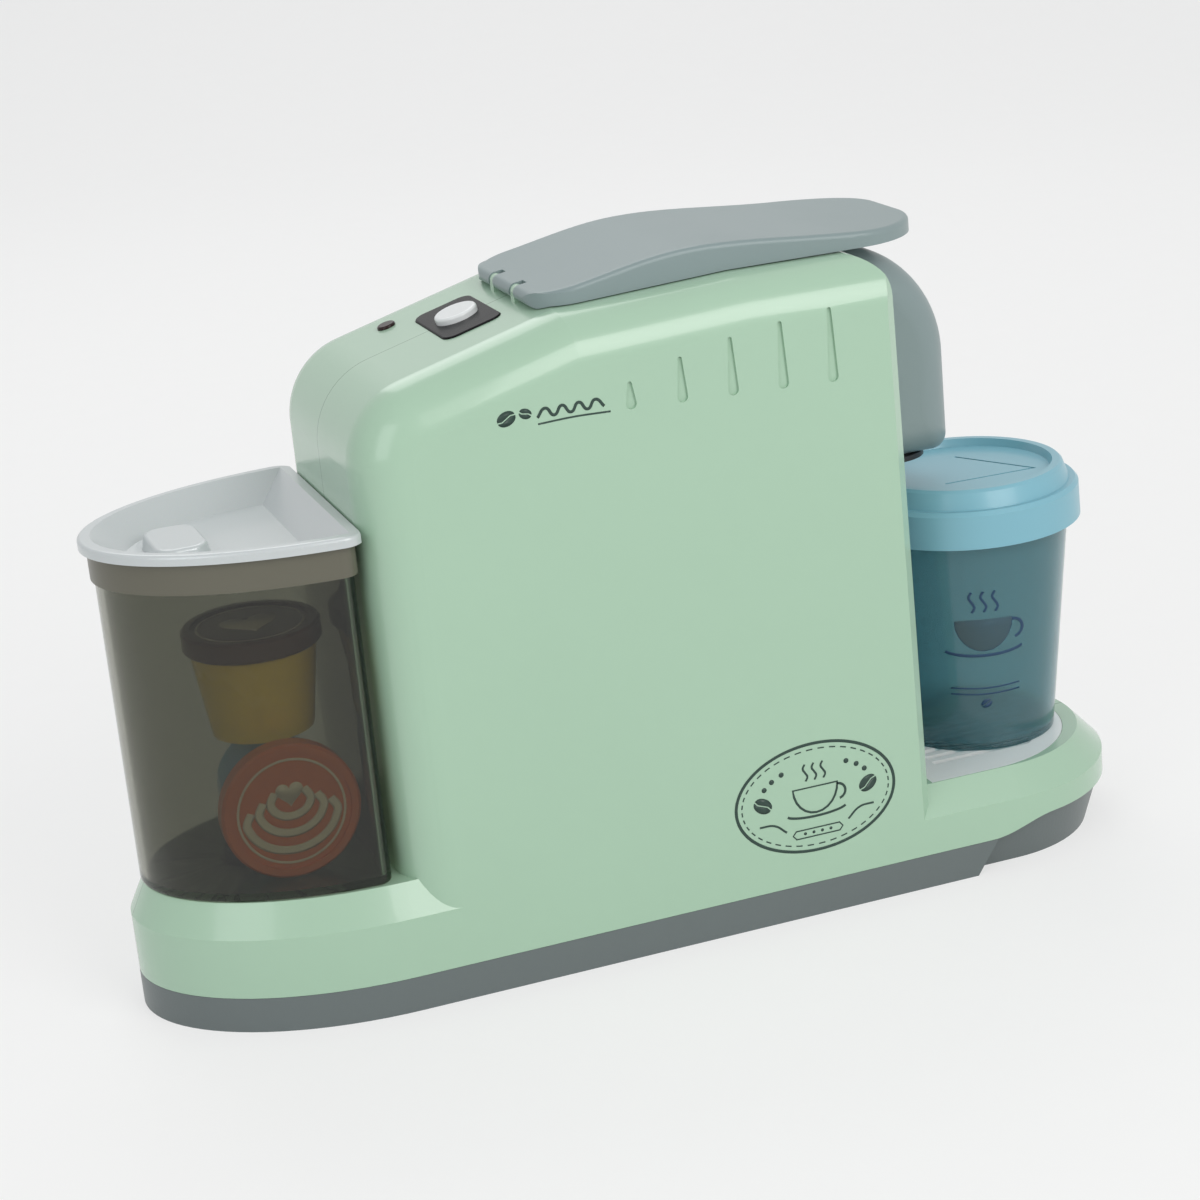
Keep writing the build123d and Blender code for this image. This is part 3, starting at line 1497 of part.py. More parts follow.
motor_end_x = board_rear_x + 0.14 * board_length
motor_run = motor_end_x - pump_x
motor_end_y = 0.24 * board_width
motor_route = [
    (pump_x, motor_radius / 2, motor_top),
    (pump_x, motor_radius / 2, motor_top + wire_rise),
    (pump_x + 0.31 * motor_run, motor_radius * 0.65, motor_top + 1.25 * wire_rise),
    (pump_x + 0.62 * motor_run, motor_radius * 0.85, motor_top + 0.33 * wire_rise),
    (motor_end_x, motor_end_y, board_top + wire_rise),
    (motor_end_x, motor_end_y, board_top),
]
speaker_foot_x = speaker_x - 0.81 * speaker_radius
speaker_foot_y = -0.44 * speaker_radius
speaker_foot_z = base_floor + speaker_height * 0.3
speaker_end_x = board_front_x - 0.06 * board_length
speaker_run = speaker_end_x - speaker_foot_x
speaker_end_y = -0.24 * board_width
speaker_route = [
    (speaker_foot_x, speaker_foot_y, speaker_foot_z),
    (speaker_foot_x, speaker_foot_y, speaker_foot_z + 0.9 * wire_rise),
    (speaker_foot_x + 0.29 * speaker_run, speaker_foot_y, speaker_foot_z + 1.7 * wire_rise),
    (speaker_foot_x + 0.75 * speaker_run, speaker_end_y, board_top + wire_rise),
    (speaker_end_x, speaker_end_y, board_top + wire_rise),
    (speaker_end_x, speaker_end_y, board_top),
]
button_start_x = board_rear_x + 0.06 * board_length
button_start_y = -0.14 * board_width
button_end = button_foot.origin + Vector(0, -pad_radius, 0)
button_run = button_end.X - button_start_x
button_rise = button_end.Z - board_top
button_route = [
    (button_start_x, button_start_y, board_top),
    (button_start_x, button_start_y, board_top + 0.12 * button_rise),
    (button_start_x + 0.28 * button_run, 1.3 * button_start_y, board_top + 0.36 * button_rise),
    (button_start_x + 0.55 * button_run, 1.1 * button_start_y, board_top + 0.62 * button_rise),
    (button_start_x + 0.75 * button_run, -pad_radius, board_top + 0.84 * button_rise),
    tuple(button_end - button_foot.z_dir * wire_rise),
    tuple(button_end),
]
lead_foot_y = (battery_box_wall - bay_outer_width) / 2
lead_end_y = wire_diameter - board_width / 2
lead_foot_z = base_floor + battery_box_height
battery_route = [
    (battery_spots[0], lead_foot_y, lead_foot_z),
    (battery_spots[0], lead_foot_y, lead_foot_z + wire_rise),
    (battery_spots[0], lead_end_y, lead_foot_z + wire_rise),
    (battery_spots[0], lead_end_y, board_top),
]

with BuildPart() as motor_lead:
    add(tube_along(motor_route, wire_radius, "motor lead"))
with BuildPart() as speaker_lead:
    add(tube_along(speaker_route, wire_radius, "speaker lead"))
with BuildPart() as button_lead:
    add(tube_along(button_route, wire_radius, "button lead"))
with BuildPart() as battery_lead:
    add(tube_along(battery_route, wire_radius, "battery lead"))

# ---------------------------------------------------------------- files
pieces = {
    "right_shell": right_shell,
    "left_shell": left_shell,
    "base_plate": base_plate,
    "battery_door": battery_door,
    "battery_door_screw": battery_door_screw,
    "base_screws": base_screws,
    "shell_screws": shell_screws,
    "batteries": batteries,
    "battery_contacts": battery_contacts,
    "circuit_board": circuit_board,
    "board_screws": board_screws,
    "speaker": speaker,
    "pump_housing": pump_housing,
    "pump_cover": pump_cover,
    "pump_motor": pump_motor,
    "motor_shaft": motor_shaft,
    "pump_impeller": pump_impeller,
    "inlet_tube": inlet_tube,
    "outlet_tube": outlet_tube,
    "dock_socket": dock_socket,
    "water_tank": water_tank,
    "tank_seal": tank_seal,
    "tank_collar": tank_collar,
    "tank_lid": tank_lid,
    "spout_housing": spout_housing,
    "nozzle": nozzle,
    "niche_panel": niche_panel,
    "chamber_deck": chamber_deck,
    "capsule_chamber": capsule_chamber,
    "lever": lever,
    "lever_pin": lever_pin,
    "capsule_plunger": capsule_plunger,
    "control_panel": control_panel,
    "power_button": power_button,
    "button_pad": button_pad,
    "button_board": button_board,
    "indicator_lens": indicator_lens,
    "drip_tray": drip_tray,
    "cup": cup,
    "cup_lid": cup_lid,
    "blue_capsule": blue_capsule,
    "blue_capsule_cap": blue_capsule_cap,
    "red_capsule": red_capsule,
    "red_capsule_cap": red_capsule_cap,
    "yellow_capsule": yellow_capsule,
    "yellow_capsule_cap": yellow_capsule_cap,
    "motor_lead": motor_lead,
    "speaker_lead": speaker_lead,
    "button_lead": button_lead,
    "battery_lead": battery_lead,
}

os.makedirs("parts", exist_ok=True)
for name, piece in pieces.items():
    piece.part.label = name
    export_step(piece.part, f"parts/{name}.step")
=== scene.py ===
"""Toy coffee maker: plastics, prints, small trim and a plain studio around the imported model."""
from math import cos, pi, radians, sin

import bmesh
import bpy
from bpy.props import FloatProperty, FloatVectorProperty, IntProperty, PointerProperty
from mathutils import Matrix, Vector
from mathutils.bvhtree import BVHTree


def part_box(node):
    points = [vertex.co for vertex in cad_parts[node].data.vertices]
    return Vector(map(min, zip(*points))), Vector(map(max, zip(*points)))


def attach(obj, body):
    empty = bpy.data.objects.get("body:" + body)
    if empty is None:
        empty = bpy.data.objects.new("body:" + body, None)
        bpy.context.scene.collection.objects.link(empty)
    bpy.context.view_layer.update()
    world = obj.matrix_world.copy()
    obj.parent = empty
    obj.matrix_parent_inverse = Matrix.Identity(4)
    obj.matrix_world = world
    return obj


bl_info = {
    "name": "Toy coffee maker",
    "version": (1, 0, 0),
    "blender": (4, 5, 0),
    "location": "3D view > Sidebar > Coffee maker",
    "description": "Finishes the toy coffee maker: plastics, prints, trim and a studio",
    "category": "Object",
}

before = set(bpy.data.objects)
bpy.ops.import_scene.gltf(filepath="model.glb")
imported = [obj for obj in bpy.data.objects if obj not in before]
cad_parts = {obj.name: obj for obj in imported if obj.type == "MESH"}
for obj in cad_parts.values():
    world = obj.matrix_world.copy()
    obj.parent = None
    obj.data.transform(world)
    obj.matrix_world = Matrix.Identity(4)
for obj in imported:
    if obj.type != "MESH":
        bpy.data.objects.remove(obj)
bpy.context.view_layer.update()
MM = 0.001

# sockets of a Mix node on colours
MIX_FACTOR, MIX_FIRST, MIX_SECOND, MIX_RESULT = 0, 6, 7, 2

PLASTIC_IOR = 1.5
CLEAR_IOR = 1.45
COAT_ROUGHNESS = 0.06
CLEAR_GRAIN = 220.0
CELL_HALF_LENGTH = 0.0255

INK_LIFT = 0.00006
INK_SINK = 0.00012
FILL_DEPTH = 0.00005
MERGE_DISTANCE = 1e-7
FLAT = 1e-9
CAST_REACH = 0.06
CAP_CAST_REACH = 0.02

FLOOR_HALF = 2.5
FLOOR_REAR = FLOOR_HALF - 0.1
BACKDROP_HEIGHT = 3.0
BACKDROP_BEND = 1.2
BACKDROP_TURN = radians(-18.7)
LAMP_TARGET = (0.0, 0.0, 0.08)
CAMERA_SPOT = (-0.2377, -0.7134, 0.3363)
CAMERA_TARGET = (-0.004, 0.0, 0.090)
CAMERA_LEAN = (0.1924, 0.2790, 0.9408)
SENSOR_WIDTH = 36.0

BADGE_SPOT = (0.0392, 0.0357)
MARK_SPOT = (-0.0254, 0.1582)
CUP_PRINT_RISE = 0.036
CUP_PRINT_FACING = (-0.30, -0.954, 0.0)


# ---------------------------------------------------------------- settings
def colour(name, description, default):
    """A linear colour that a user may change."""
    return FloatVectorProperty(
        name=name, description=description, default=default, size=3, min=0.0, max=1.0, subtype="COLOR"
    )


def length(name, description, default):
    """A length in metres that a user may change."""
    return FloatProperty(name=name, description=description, default=default, min=0.0, unit="LENGTH")


def share(name, description, default):
    """A factor between nought and one."""
    return FloatProperty(
        name=name, description=description, default=default, min=0.0, max=1.0, subtype="FACTOR"
    )


class CasingSettings(bpy.types.PropertyGroup):
    """Colours of the casing and the base."""

    mint: colour("Mint", "Casing plastic", (0.385, 0.565, 0.418))
    slate: colour("Slate", "Lever and spout plastic", (0.235, 0.300, 0.302))
    base: colour("Base", "Grey plastic of the base", (0.135, 0.160, 0.160))
    niche: colour("Niche", "Grey panel behind the cup", (0.200, 0.235, 0.235))
    gloss: share("Casing roughness", "Roughness of the casing plastic", 0.24)
    seam: length("Seam width", "Width of the parting line between the casing halves", 0.00022)


class TankSettings(bpy.types.PropertyGroup):
    """Colours of the water tank."""

    smoke: colour("Smoke", "Tint of the clear tank", (0.270, 0.275, 0.225))
    lit_smoke: colour("Lit smoke", "Tint of the light that falls into the tank", (0.560, 0.560, 0.480))
    collar: colour("Collar", "Warm grey collar", (0.125, 0.119, 0.088))
    silver: colour("Silver", "Pearl plastic of the tank lid", (0.560, 0.595, 0.600))


class CupSettings(bpy.types.PropertyGroup):
    """Colours of the cup and the tray."""

    teal: colour("Teal", "Tint of the clear cup", (0.210, 0.400, 0.440))
    lid: colour("Cup lid", "Light blue plastic of the cup lid", (0.212, 0.458, 0.550))
    tray: colour("Tray", "White plastic of the drip tray", (0.840, 0.870, 0.860))


class PrintSettings(bpy.types.PropertyGroup):
    """Sizes and inks of the prints."""

    green_ink: colour("Green ink", "Ink of the prints on the casing", (0.020, 0.050, 0.038))
    blue_ink: colour("Blue ink", "Ink of the print on the cup", (0.010, 0.045, 0.110))
    badge_length: length("Badge length", "Length of the oval badge", 0.0480)
    badge_height: length("Badge height", "Height of the oval badge", 0.0318)
    line: length("Line width", "Width of a printed line", 0.00055)
    dashes: IntProperty(name="Dashes", description="Dashes in the badge's inner oval", default=40, min=8)


class CapsuleSettings(bpy.types.PropertyGroup):
    """Colours of the capsules and their caps."""

    yellow: colour("Yellow", "Body of the yellow capsule", (0.860, 0.600, 0.050))
    blue: colour("Blue", "Body of the blue capsule", (0.045, 0.270, 0.480))
    red: colour("Red", "Body of the red capsule", (0.480, 0.035, 0.035))
    orange: colour("Orange cap", "Cap of the blue capsule", (0.720, 0.175, 0.035))
    brown: colour("Brown cap", "Cap of the yellow capsule", (0.085, 0.032, 0.018))
    purple: colour("Purple cap", "Cap of the red capsule", (0.150, 0.022, 0.085))
    foam: colour("Foam", "Pale ink of the prints on the caps", (0.780, 0.700, 0.560))


class StudioSettings(bpy.types.PropertyGroup):
    """Camera, lamps and floor."""

    lens: FloatProperty(name="Lens", description="Focal length in millimetres", default=84.0, min=20.0)
    key: FloatProperty(name="Key lamp", description="Power of the key lamp in watts", default=8.0, min=0.0)
    fill: FloatProperty(name="Fill lamp", description="Power of the fill lamp in watts", default=2.4, min=0.0)
    rim: FloatProperty(name="Rim lamp", description="Power of the rim lamp in watts", default=4.5, min=0.0)
    sky: FloatProperty(name="Sky", description="Strength of the even light", default=0.58, min=0.0)
    floor: colour("Floor", "Colour of the floor and the backdrop", (0.800, 0.800, 0.790))
    paleness: share("Paleness", "How far the floor and the backdrop turn white to the eye", 0.6)


# ---------------------------------------------------------------- node helpers
def link(tree, source, target):
    """Join two sockets."""
    tree.links.new(source, target)


def new_node(tree, kind, x=0, y=0, **values):
    """A node with its properties set."""
    node = tree.nodes.new(kind)
    node.location = (x, y)
    for name, value in values.items():
        setattr(node, name, value)
    return node


def maths(tree, operation, first, second=None, third=None):
    """A Math node whose inputs are sockets or numbers."""
    node = new_node(tree, "ShaderNodeMath", operation=operation)
    for socket, value in zip(node.inputs, (first, second, third)):
        if value is None:
            continue
        if hasattr(value, "links"):
            link(tree, value, socket)
        else:
            socket.default_value = value
    return node.outputs[0]


def blend_colour(tree, factor, first, second, kind="MIX"):
    """A Mix node on colours, whose inputs are sockets or values."""
    node = new_node(tree, "ShaderNodeMix", data_type="RGBA", blend_type=kind)
    for number, value in ((MIX_FACTOR, factor), (MIX_FIRST, first), (MIX_SECOND, second)):
        socket = node.inputs[number]
        if hasattr(value, "links"):
            link(tree, value, socket)
        elif number == MIX_FACTOR:
            socket.default_value = value
        else:
            socket.default_value = (*value[:3], 1.0)
    return node.outputs[MIX_RESULT]


def new_group(name, inputs, outputs):
    """An empty shader node group with named sockets, and its two end nodes."""
    group = bpy.data.node_groups.new(name, "ShaderNodeTree")
    for label, kind, default in inputs:
        socket = group.interface.new_socket(label, in_out="INPUT", socket_type=kind)
        if default is not None:
            socket.default_value = default
    for label, kind in outputs:
        group.interface.new_socket(label, in_out="OUTPUT", socket_type=kind)
    start = new_node(group, "NodeGroupInput", -900, 0)
    end = new_node(group, "NodeGroupOutput", 900, 0)
    return group, start, end


def moulded_grain():
    """Group: soft colour drift, fine moulded grain and smudged gloss, as on injected plastic."""
    group = bpy.data.node_groups.get("moulded_grain")
    if group:
        return group
    group, start, end = new_group(
        "moulded_grain",
        [
            ("Vector", "NodeSocketVector", None),
            ("Color", "NodeSocketColor", (0.5, 0.5, 0.5, 1.0)),
            ("Drift", "NodeSocketFloat", 0.04),
            ("Roughness", "NodeSocketFloat", 0.3),
            ("Smudge", "NodeSocketFloat", 0.03),
            ("Grain scale", "NodeSocketFloat", 1400.0),
        ],
        [("Color", "NodeSocketColor"), ("Roughness", "NodeSocketFloat"), ("Height", "NodeSocketFloat")],
    )
    vector = start.outputs["Vector"]
    flow = new_node(group, "ShaderNodeTexNoise", -600, 200)
    flow.inputs["Scale"].default_value = 16.0
    flow.inputs["Detail"].default_value = 3.0
    flow.inputs["Distortion"].default_value = 0.6
    link(group, vector, flow.inputs["Vector"])
    swing = maths(group, "SUBTRACT", flow.outputs["Fac"], 0.5)
    drift = maths(group, "MULTIPLY", swing, start.outputs["Drift"])
    tone = maths(group, "ADD", drift, 1.0)
    tint = new_node(group, "ShaderNodeVectorMath", 0, 250, operation="SCALE")
    link(group, start.outputs["Color"], tint.inputs[0])
    link(group, tone, tint.inputs["Scale"])
    link(group, tint.outputs[0], end.inputs["Color"])
    smear = new_node(group, "ShaderNodeTexNoise", -600, -80)
    smear.inputs["Scale"].default_value = 38.0
    smear.inputs["Detail"].default_value = 3.0
    smear.inputs["Distortion"].default_value = 0.3
    link(group, vector, smear.inputs["Vector"])
    mask = new_node(group, "ShaderNodeMapRange", -350, -80, interpolation_type="SMOOTHSTEP")
    mask.inputs["From Min"].default_value = 0.35
    mask.inputs["From Max"].default_value = 0.75
    link(group, smear.outputs["Fac"], mask.inputs["Value"])
    extra = maths(group, "MULTIPLY", mask.outputs["Result"], start.outputs["Smudge"])
    link(group, maths(group, "ADD", start.outputs["Roughness"], extra), end.inputs["Roughness"])
    grain = new_node(group, "ShaderNodeTexNoise", -600, -360)
    grain.inputs["Detail"].default_value = 2.0
    link(group, vector, grain.inputs["Vector"])
    link(group, start.outputs["Grain scale"], grain.inputs["Scale"])
    link(group, grain.outputs["Fac"], end.inputs["Height"])
    return group


def hairlines():
    """Group: faint straight scratches in one direction, for brushed metal."""
    group = bpy.data.node_groups.get("hairlines")
    if group:
        return group
    group, start, end = new_group(
        "hairlines",
        [
            ("Vector", "NodeSocketVector", None),
            ("Density", "NodeSocketFloat", 900.0),
            ("Threshold", "NodeSocketFloat", 0.62),
        ],
        [("Mask", "NodeSocketFloat")],
    )
    stretch = new_node(group, "ShaderNodeMapping", -600, 0)
    stretch.inputs["Rotation"].default_value = (0.3, 0.5, 0.4)
    stretch.inputs["Scale"].default_value = (0.02, 1.0, 0.6)
    link(group, start.outputs["Vector"], stretch.inputs["Vector"])
    noise = new_node(group, "ShaderNodeTexNoise", -400, 0)
    noise.inputs["Detail"].default_value = 1.0
    link(group, stretch.outputs["Vector"], noise.inputs["Vector"])
    link(group, start.outputs["Density"], noise.inputs["Scale"])
    over = maths(group, "SUBTRACT", noise.outputs["Fac"], start.outputs["Threshold"])
    mask = maths(group, "MULTIPLY", over, 6.0)
    mask.node.use_clamp = True
    link(group, mask, end.inputs["Mask"])
    return group


def place_group(tree, group, **values):
    """A group node in a material, with its own values; sockets are linked."""
    node = new_node(tree, "ShaderNodeGroup", -400, 0)
    node.node_tree = group
    for name, value in values.items():
        socket = node.inputs[name.replace("_", " ")]
        if hasattr(value, "links"):
            link(tree, value, socket)
        elif hasattr(value, "__len__"):
            socket.default_value = (*value[:3], 1.0)
        else:
            socket.default_value = value
    return node


def blank_material(name):
    """A material with its Principled node, its output and Object coordinates."""
    material = bpy.data.materials.new(name)
    material.use_nodes = True
    tree = material.node_tree
    shader = tree.nodes["Principled BSDF"]
    shader.location = (300, 0)
    place = new_node(tree, "ShaderNodeTexCoord", -900, 0).outputs["Object"]
    return material, tree, shader, place


def raise_surface(tree, shader, height, depth, strength=1.0):
    """A Bump node from a height; its depth is in metres."""
    bump = new_node(tree, "ShaderNodeBump", 100, -300)
    bump.inputs["Strength"].default_value = strength
    bump.inputs["Distance"].default_value = depth
    link(tree, height, bump.inputs["Height"])
    link(tree, bump.outputs["Normal"], shader.inputs["Normal"])


def plastic_nodes(
    name, tone, roughness=0.3, drift=0.04, smudge=0.03, grain=1400.0, depth=0.000012, coat=0.0
):
    """Moulded opaque plastic: the material, its tree, shader, coordinates and grain node."""
    material, tree, shader, place = blank_material(name)
    finish = place_group(
        tree, moulded_grain(), Vector=place, Color=tone, Drift=drift, Roughness=roughness, Smudge=smudge,
        Grain_scale=grain,
    )
    link(tree, finish.outputs["Color"], shader.inputs["Base Color"])
    link(tree, finish.outputs["Roughness"], shader.inputs["Roughness"])
    raise_surface(tree, shader, finish.outputs["Height"], depth)
    shader.inputs["IOR"].default_value = PLASTIC_IOR
    shader.inputs["Coat Weight"].default_value = coat
    shader.inputs["Coat Roughness"].default_value = COAT_ROUGHNESS
    return material, tree, shader, place, finish


def plastic(name, tone, **finish):
    """Moulded opaque plastic, where nothing is added to its nodes."""
    return plastic_nodes(name, tone, **finish)[0]


def clear_plastic(name, tint, lamp_tint, roughness=0.05, haze=0.05, weight=1.0):
    """Clear tinted plastic: lamp light passes straight through it, in a tint of its own."""
    material, tree, shader, place = blank_material(name)
    finish = place_group(
        tree, moulded_grain(), Vector=place, Color=tint, Drift=0.04, Roughness=roughness, Smudge=haze,
        Grain_scale=CLEAR_GRAIN,
    )
    link(tree, finish.outputs["Color"], shader.inputs["Base Color"])
    link(tree, finish.outputs["Roughness"], shader.inputs["Roughness"])
    raise_surface(tree, shader, finish.outputs["Height"], 0.000004, 0.3)
    shader.inputs["Transmission Weight"].default_value = weight
    shader.inputs["IOR"].default_value = CLEAR_IOR
    clear = new_node(tree, "ShaderNodeBsdfTransparent", 300, 300)
    clear.inputs["Color"].default_value = (*[channel ** 0.5 for channel in lamp_tint], 1.0)
    path = new_node(tree, "ShaderNodeLightPath", 300, 600)
    mix = new_node(tree, "ShaderNodeMixShader", 600, 100)
    link(tree, path.outputs["Is Shadow Ray"], mix.inputs[0])
    link(tree, shader.outputs[0], mix.inputs[1])
    link(tree, clear.outputs[0], mix.inputs[2])
    link(tree, mix.outputs[0], tree.nodes["Material Output"].inputs["Surface"])
    return material


def metal(name, tone, roughness=0.3, lines=0.25, density=1800.0):
    """Bare metal with hairlines."""
    material, tree, shader, place = blank_material(name)
    scratches = place_group(tree, hairlines(), Vector=place, Density=density, Threshold=0.5)
    dark = tuple(channel * 0.7 for channel in tone)
    link(tree, blend_colour(tree, scratches.outputs["Mask"], tone, dark), shader.inputs["Base Color"])
    rough = maths(tree, "MULTIPLY_ADD", scratches.outputs["Mask"], lines, roughness)
    link(tree, rough, shader.inputs["Roughness"])
    raise_surface(tree, shader, scratches.outputs["Mask"], 0.00001, 0.4)
    shader.inputs["Metallic"].default_value = 1.0
    return material


def rubber(name, tone):
    """Soft moulded rubber."""
    material, _, shader, _, _ = plastic_nodes(
        name, tone, roughness=0.62, drift=0.12, smudge=0.1, grain=2600.0, depth=0.00004
    )
    shader.inputs["Specular IOR Level"].default_value = 0.35
    return material


def ink(name, tone, roughness=0.35):
    """Printed ink with slightly uneven cover."""
    return plastic(name, tone, roughness=roughness, drift=0.3, smudge=0.15, grain=3800.0, depth=0.000006)


def casing_plastic(tone, roughness, seam):
    """Casing plastic with a dark parting line where the halves meet."""
    material, tree, shader, place, finish = plastic_nodes(
        "mint_plastic", tone, roughness=roughness, drift=0.045, smudge=0.03, grain=900.0, depth=0.000012,
        coat=0.4,
    )
    axes = new_node(tree, "ShaderNodeSeparateXYZ", -700, 400)
    link(tree, place, axes.inputs[0])
    away = maths(tree, "ABSOLUTE", axes.outputs["Y"])
    line = new_node(tree, "ShaderNodeMapRange", -400, 400, interpolation_type="SMOOTHSTEP")
    line.inputs["From Min"].default_value = seam * 0.4
    line.inputs["From Max"].default_value = seam
    line.inputs["To Min"].default_value = 0.75
    line.inputs["To Max"].default_value = 0.0
    link(tree, away, line.inputs["Value"])
    shade = tuple(channel * 0.25 for channel in tone)
    seamed = blend_colour(tree, line.outputs["Result"], finish.outputs["Color"], shade)
    link(tree, seamed, shader.inputs["Base Color"])
    return material


def circuit_green():
    """Circuit board lacquer with copper tracks under it."""
    material, tree, shader, place = blank_material("board_lacquer")
    cells = new_node(tree, "ShaderNodeTexBrick", -600, 0)
    cells.inputs["Scale"].default_value = 220.0
    cells.inputs["Mortar Size"].default_value = 0.06
    cells.inputs["Color1"].default_value = (0.012, 0.110, 0.050, 1.0)
    cells.inputs["Color2"].default_value = (0.010, 0.090, 0.042, 1.0)
    cells.inputs["Mortar"].default_value = (0.030, 0.190, 0.085, 1.0)
    link(tree, place, cells.inputs["Vector"])
    link(tree, cells.outputs["Color"], shader.inputs["Base Color"])
    rough = maths(tree, "MULTIPLY_ADD", cells.outputs["Fac"], 0.15, 0.25)
    link(tree, rough, shader.inputs["Roughness"])
    raise_surface(tree, shader, cells.outputs["Fac"], 0.00005)
    return material


def cell_jacket():
    """Battery sleeve: dark body, gold band at one end and a bright steel tip."""
    material, tree, shader, place = blank_material("cell_jacket")
    axes = new_node(tree, "ShaderNodeSeparateXYZ", -700, 0)
    link(tree, place, axes.inputs[0])
    bands = new_node(tree, "ShaderNodeValToRGB", -400, 0)
    spread = new_node(tree, "ShaderNodeMapRange", -550, 0)
    spread.inputs["From Min"].default_value = -CELL_HALF_LENGTH
    spread.inputs["From Max"].default_value = CELL_HALF_LENGTH
    link(tree, axes.outputs["Y"], spread.inputs["Value"])
    link(tree, spread.outputs["Result"], bands.inputs["Fac"])
    ramp = bands.color_ramp
    ramp.interpolation = "CONSTANT"
    ramp.elements[0].color = (0.55, 0.55, 0.56, 1.0)
    ramp.elements[1].position = 0.03
    ramp.elements[1].color = (0.60, 0.32, 0.10, 1.0)
    for position, tone in ((0.28, (0.016, 0.018, 0.022)), (0.97, (0.55, 0.55, 0.56))):
        ramp.elements.new(position).color = (*tone, 1.0)
    noise = new_node(tree, "ShaderNodeTexNoise", -600, -300)
    noise.inputs["Scale"].default_value = 300.0
    link(tree, place, noise.inputs["Vector"])
    link(tree, bands.outputs["Color"], shader.inputs["Base Color"])
    link(tree, maths(tree, "MULTIPLY_ADD", noise.outputs["Fac"], 0.15, 0.2), shader.inputs["Roughness"])
    shader.inputs["Metallic"].default_value = 0.6
    return material


def speaker_paper():
    """Pressed paper cone with rings about the speaker's axis."""
    material, tree, shader, place = blank_material("speaker_paper")
    low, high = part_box("speaker")
    middle = (low + high) / 2
    centre = new_node(tree, "ShaderNodeMapping", -700, 0)
    centre.inputs["Location"].default_value = (-middle.x, -middle.y, -middle.z)
    link(tree, place, centre.inputs["Vector"])
    rings = new_node(tree, "ShaderNodeTexWave", -500, 0, wave_type="RINGS", rings_direction="Z")
    rings.inputs["Scale"].default_value = 160.0
    rings.inputs["Distortion"].default_value = 0.4
    link(tree, centre.outputs["Vector"], rings.inputs["Vector"])
    shade = blend_colour(tree, rings.outputs["Fac"], (0.020, 0.020, 0.022), (0.045, 0.045, 0.048))
    link(tree, shade, shader.inputs["Base Color"])
    link(tree, maths(tree, "MULTIPLY_ADD", rings.outputs["Fac"], 0.15, 0.6), shader.inputs["Roughness"])
    raise_surface(tree, shader, rings.outputs["Fac"], 0.0002)
    return material


def pearl_plastic(tone):
    """Silver-white plastic with fine flakes."""
    material, tree, shader, place, finish = plastic_nodes(
        "pearl_plastic", tone, roughness=0.3, drift=0.02, smudge=0.015, grain=1500.0, depth=0.000006,
        coat=0.25,
    )
    flakes = new_node(tree, "ShaderNodeTexVoronoi", -600, 500)
    flakes.inputs["Scale"].default_value = 5200.0
    link(tree, place, flakes.inputs["Vector"])
    glitter = blend_colour(tree, 0.05, finish.outputs["Color"], flakes.outputs["Color"], "SCREEN")
    link(tree, glitter, shader.inputs["Base Color"])
    shader.inputs["Metallic"].default_value = 0.15
    return material


def dress(material, *nodes):
    """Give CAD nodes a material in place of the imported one."""
    for name in nodes:
        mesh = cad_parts[name].data
        mesh.materials.clear()
        mesh.materials.append(material)


# ---------------------------------------------------------------- print helpers
def curve_mesh(points, width, closed=False, filled=False, smooth=True):
    """Mesh of a flat shape: a line of some width along points, or the area inside them."""
    data = bpy.data.curves.new("outline", "CURVE")
    data.dimensions = "2D" if filled else "3D"
    spline = data.splines.new("BEZIER" if smooth else "POLY")
    if smooth:
        spline.bezier_points.add(len(points) - 1)
        for knot, (x, y) in zip(spline.bezier_points, points):
            knot.co = (x, y, 0)
            knot.handle_left_type = "AUTO"
            knot.handle_right_type = "AUTO"
    else:
        spline.points.add(len(points) - 1)
        for knot, (x, y) in zip(spline.points, points):
            knot.co = (x, y, 0, 1)
    spline.use_cyclic_u = closed or filled
    spline.resolution_u = 8
    if filled:
        data.fill_mode = "BOTH"
        data.extrude = FILL_DEPTH
    else:
        data.bevel_depth = width / 2
        data.bevel_resolution = 1
        data.use_fill_caps = True
    holder = bpy.data.objects.new("outline", data)
    bpy.context.scene.collection.objects.link(holder)
    depsgraph = bpy.context.evaluated_depsgraph_get()
    mesh = bpy.data.meshes.new_from_object(holder.evaluated_get(depsgraph))
    bpy.data.objects.remove(holder)
    bpy.data.curves.remove(data)
    return mesh


def gather(meshes):
    """One bmesh from several meshes, with doubles merged."""
    art = bmesh.new()
    for mesh in meshes:
        art.from_mesh(mesh)
        bpy.data.meshes.remove(mesh)
    bmesh.ops.remove_doubles(art, verts=art.verts, dist=MERGE_DISTANCE)
    bmesh.ops.recalc_face_normals(art, faces=art.faces)
    return art


def surface_of(node):
    """Search tree over a CAD node's faces."""
    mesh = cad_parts[node].data
    corners = [vertex.co.copy() for vertex in mesh.vertices]
    return BVHTree.FromPolygons(corners, [tuple(face.vertices) for face in mesh.polygons])


def press_onto(art, node, place):
    """Lay flat art on a node: place turns it into the part's frame, and its -Z is cast at the node."""
    tree = surface_of(node)
    aim = (place.to_3x3() @ Vector((0, 0, -1))).normalized()
    for vertex in art.verts:
        outer = vertex.co.z >= -FLAT
        start = place @ Vector((vertex.co.x, vertex.co.y, 0.0))
        hit, normal, _, _ = tree.ray_cast(start, aim)
        if hit is None:
            raise RuntimeError(f"a print runs past the edge of {node}")
        if normal.dot(aim) > 0:
            normal = -normal
        vertex.co = hit + normal * (INK_LIFT if outer else -INK_SINK)


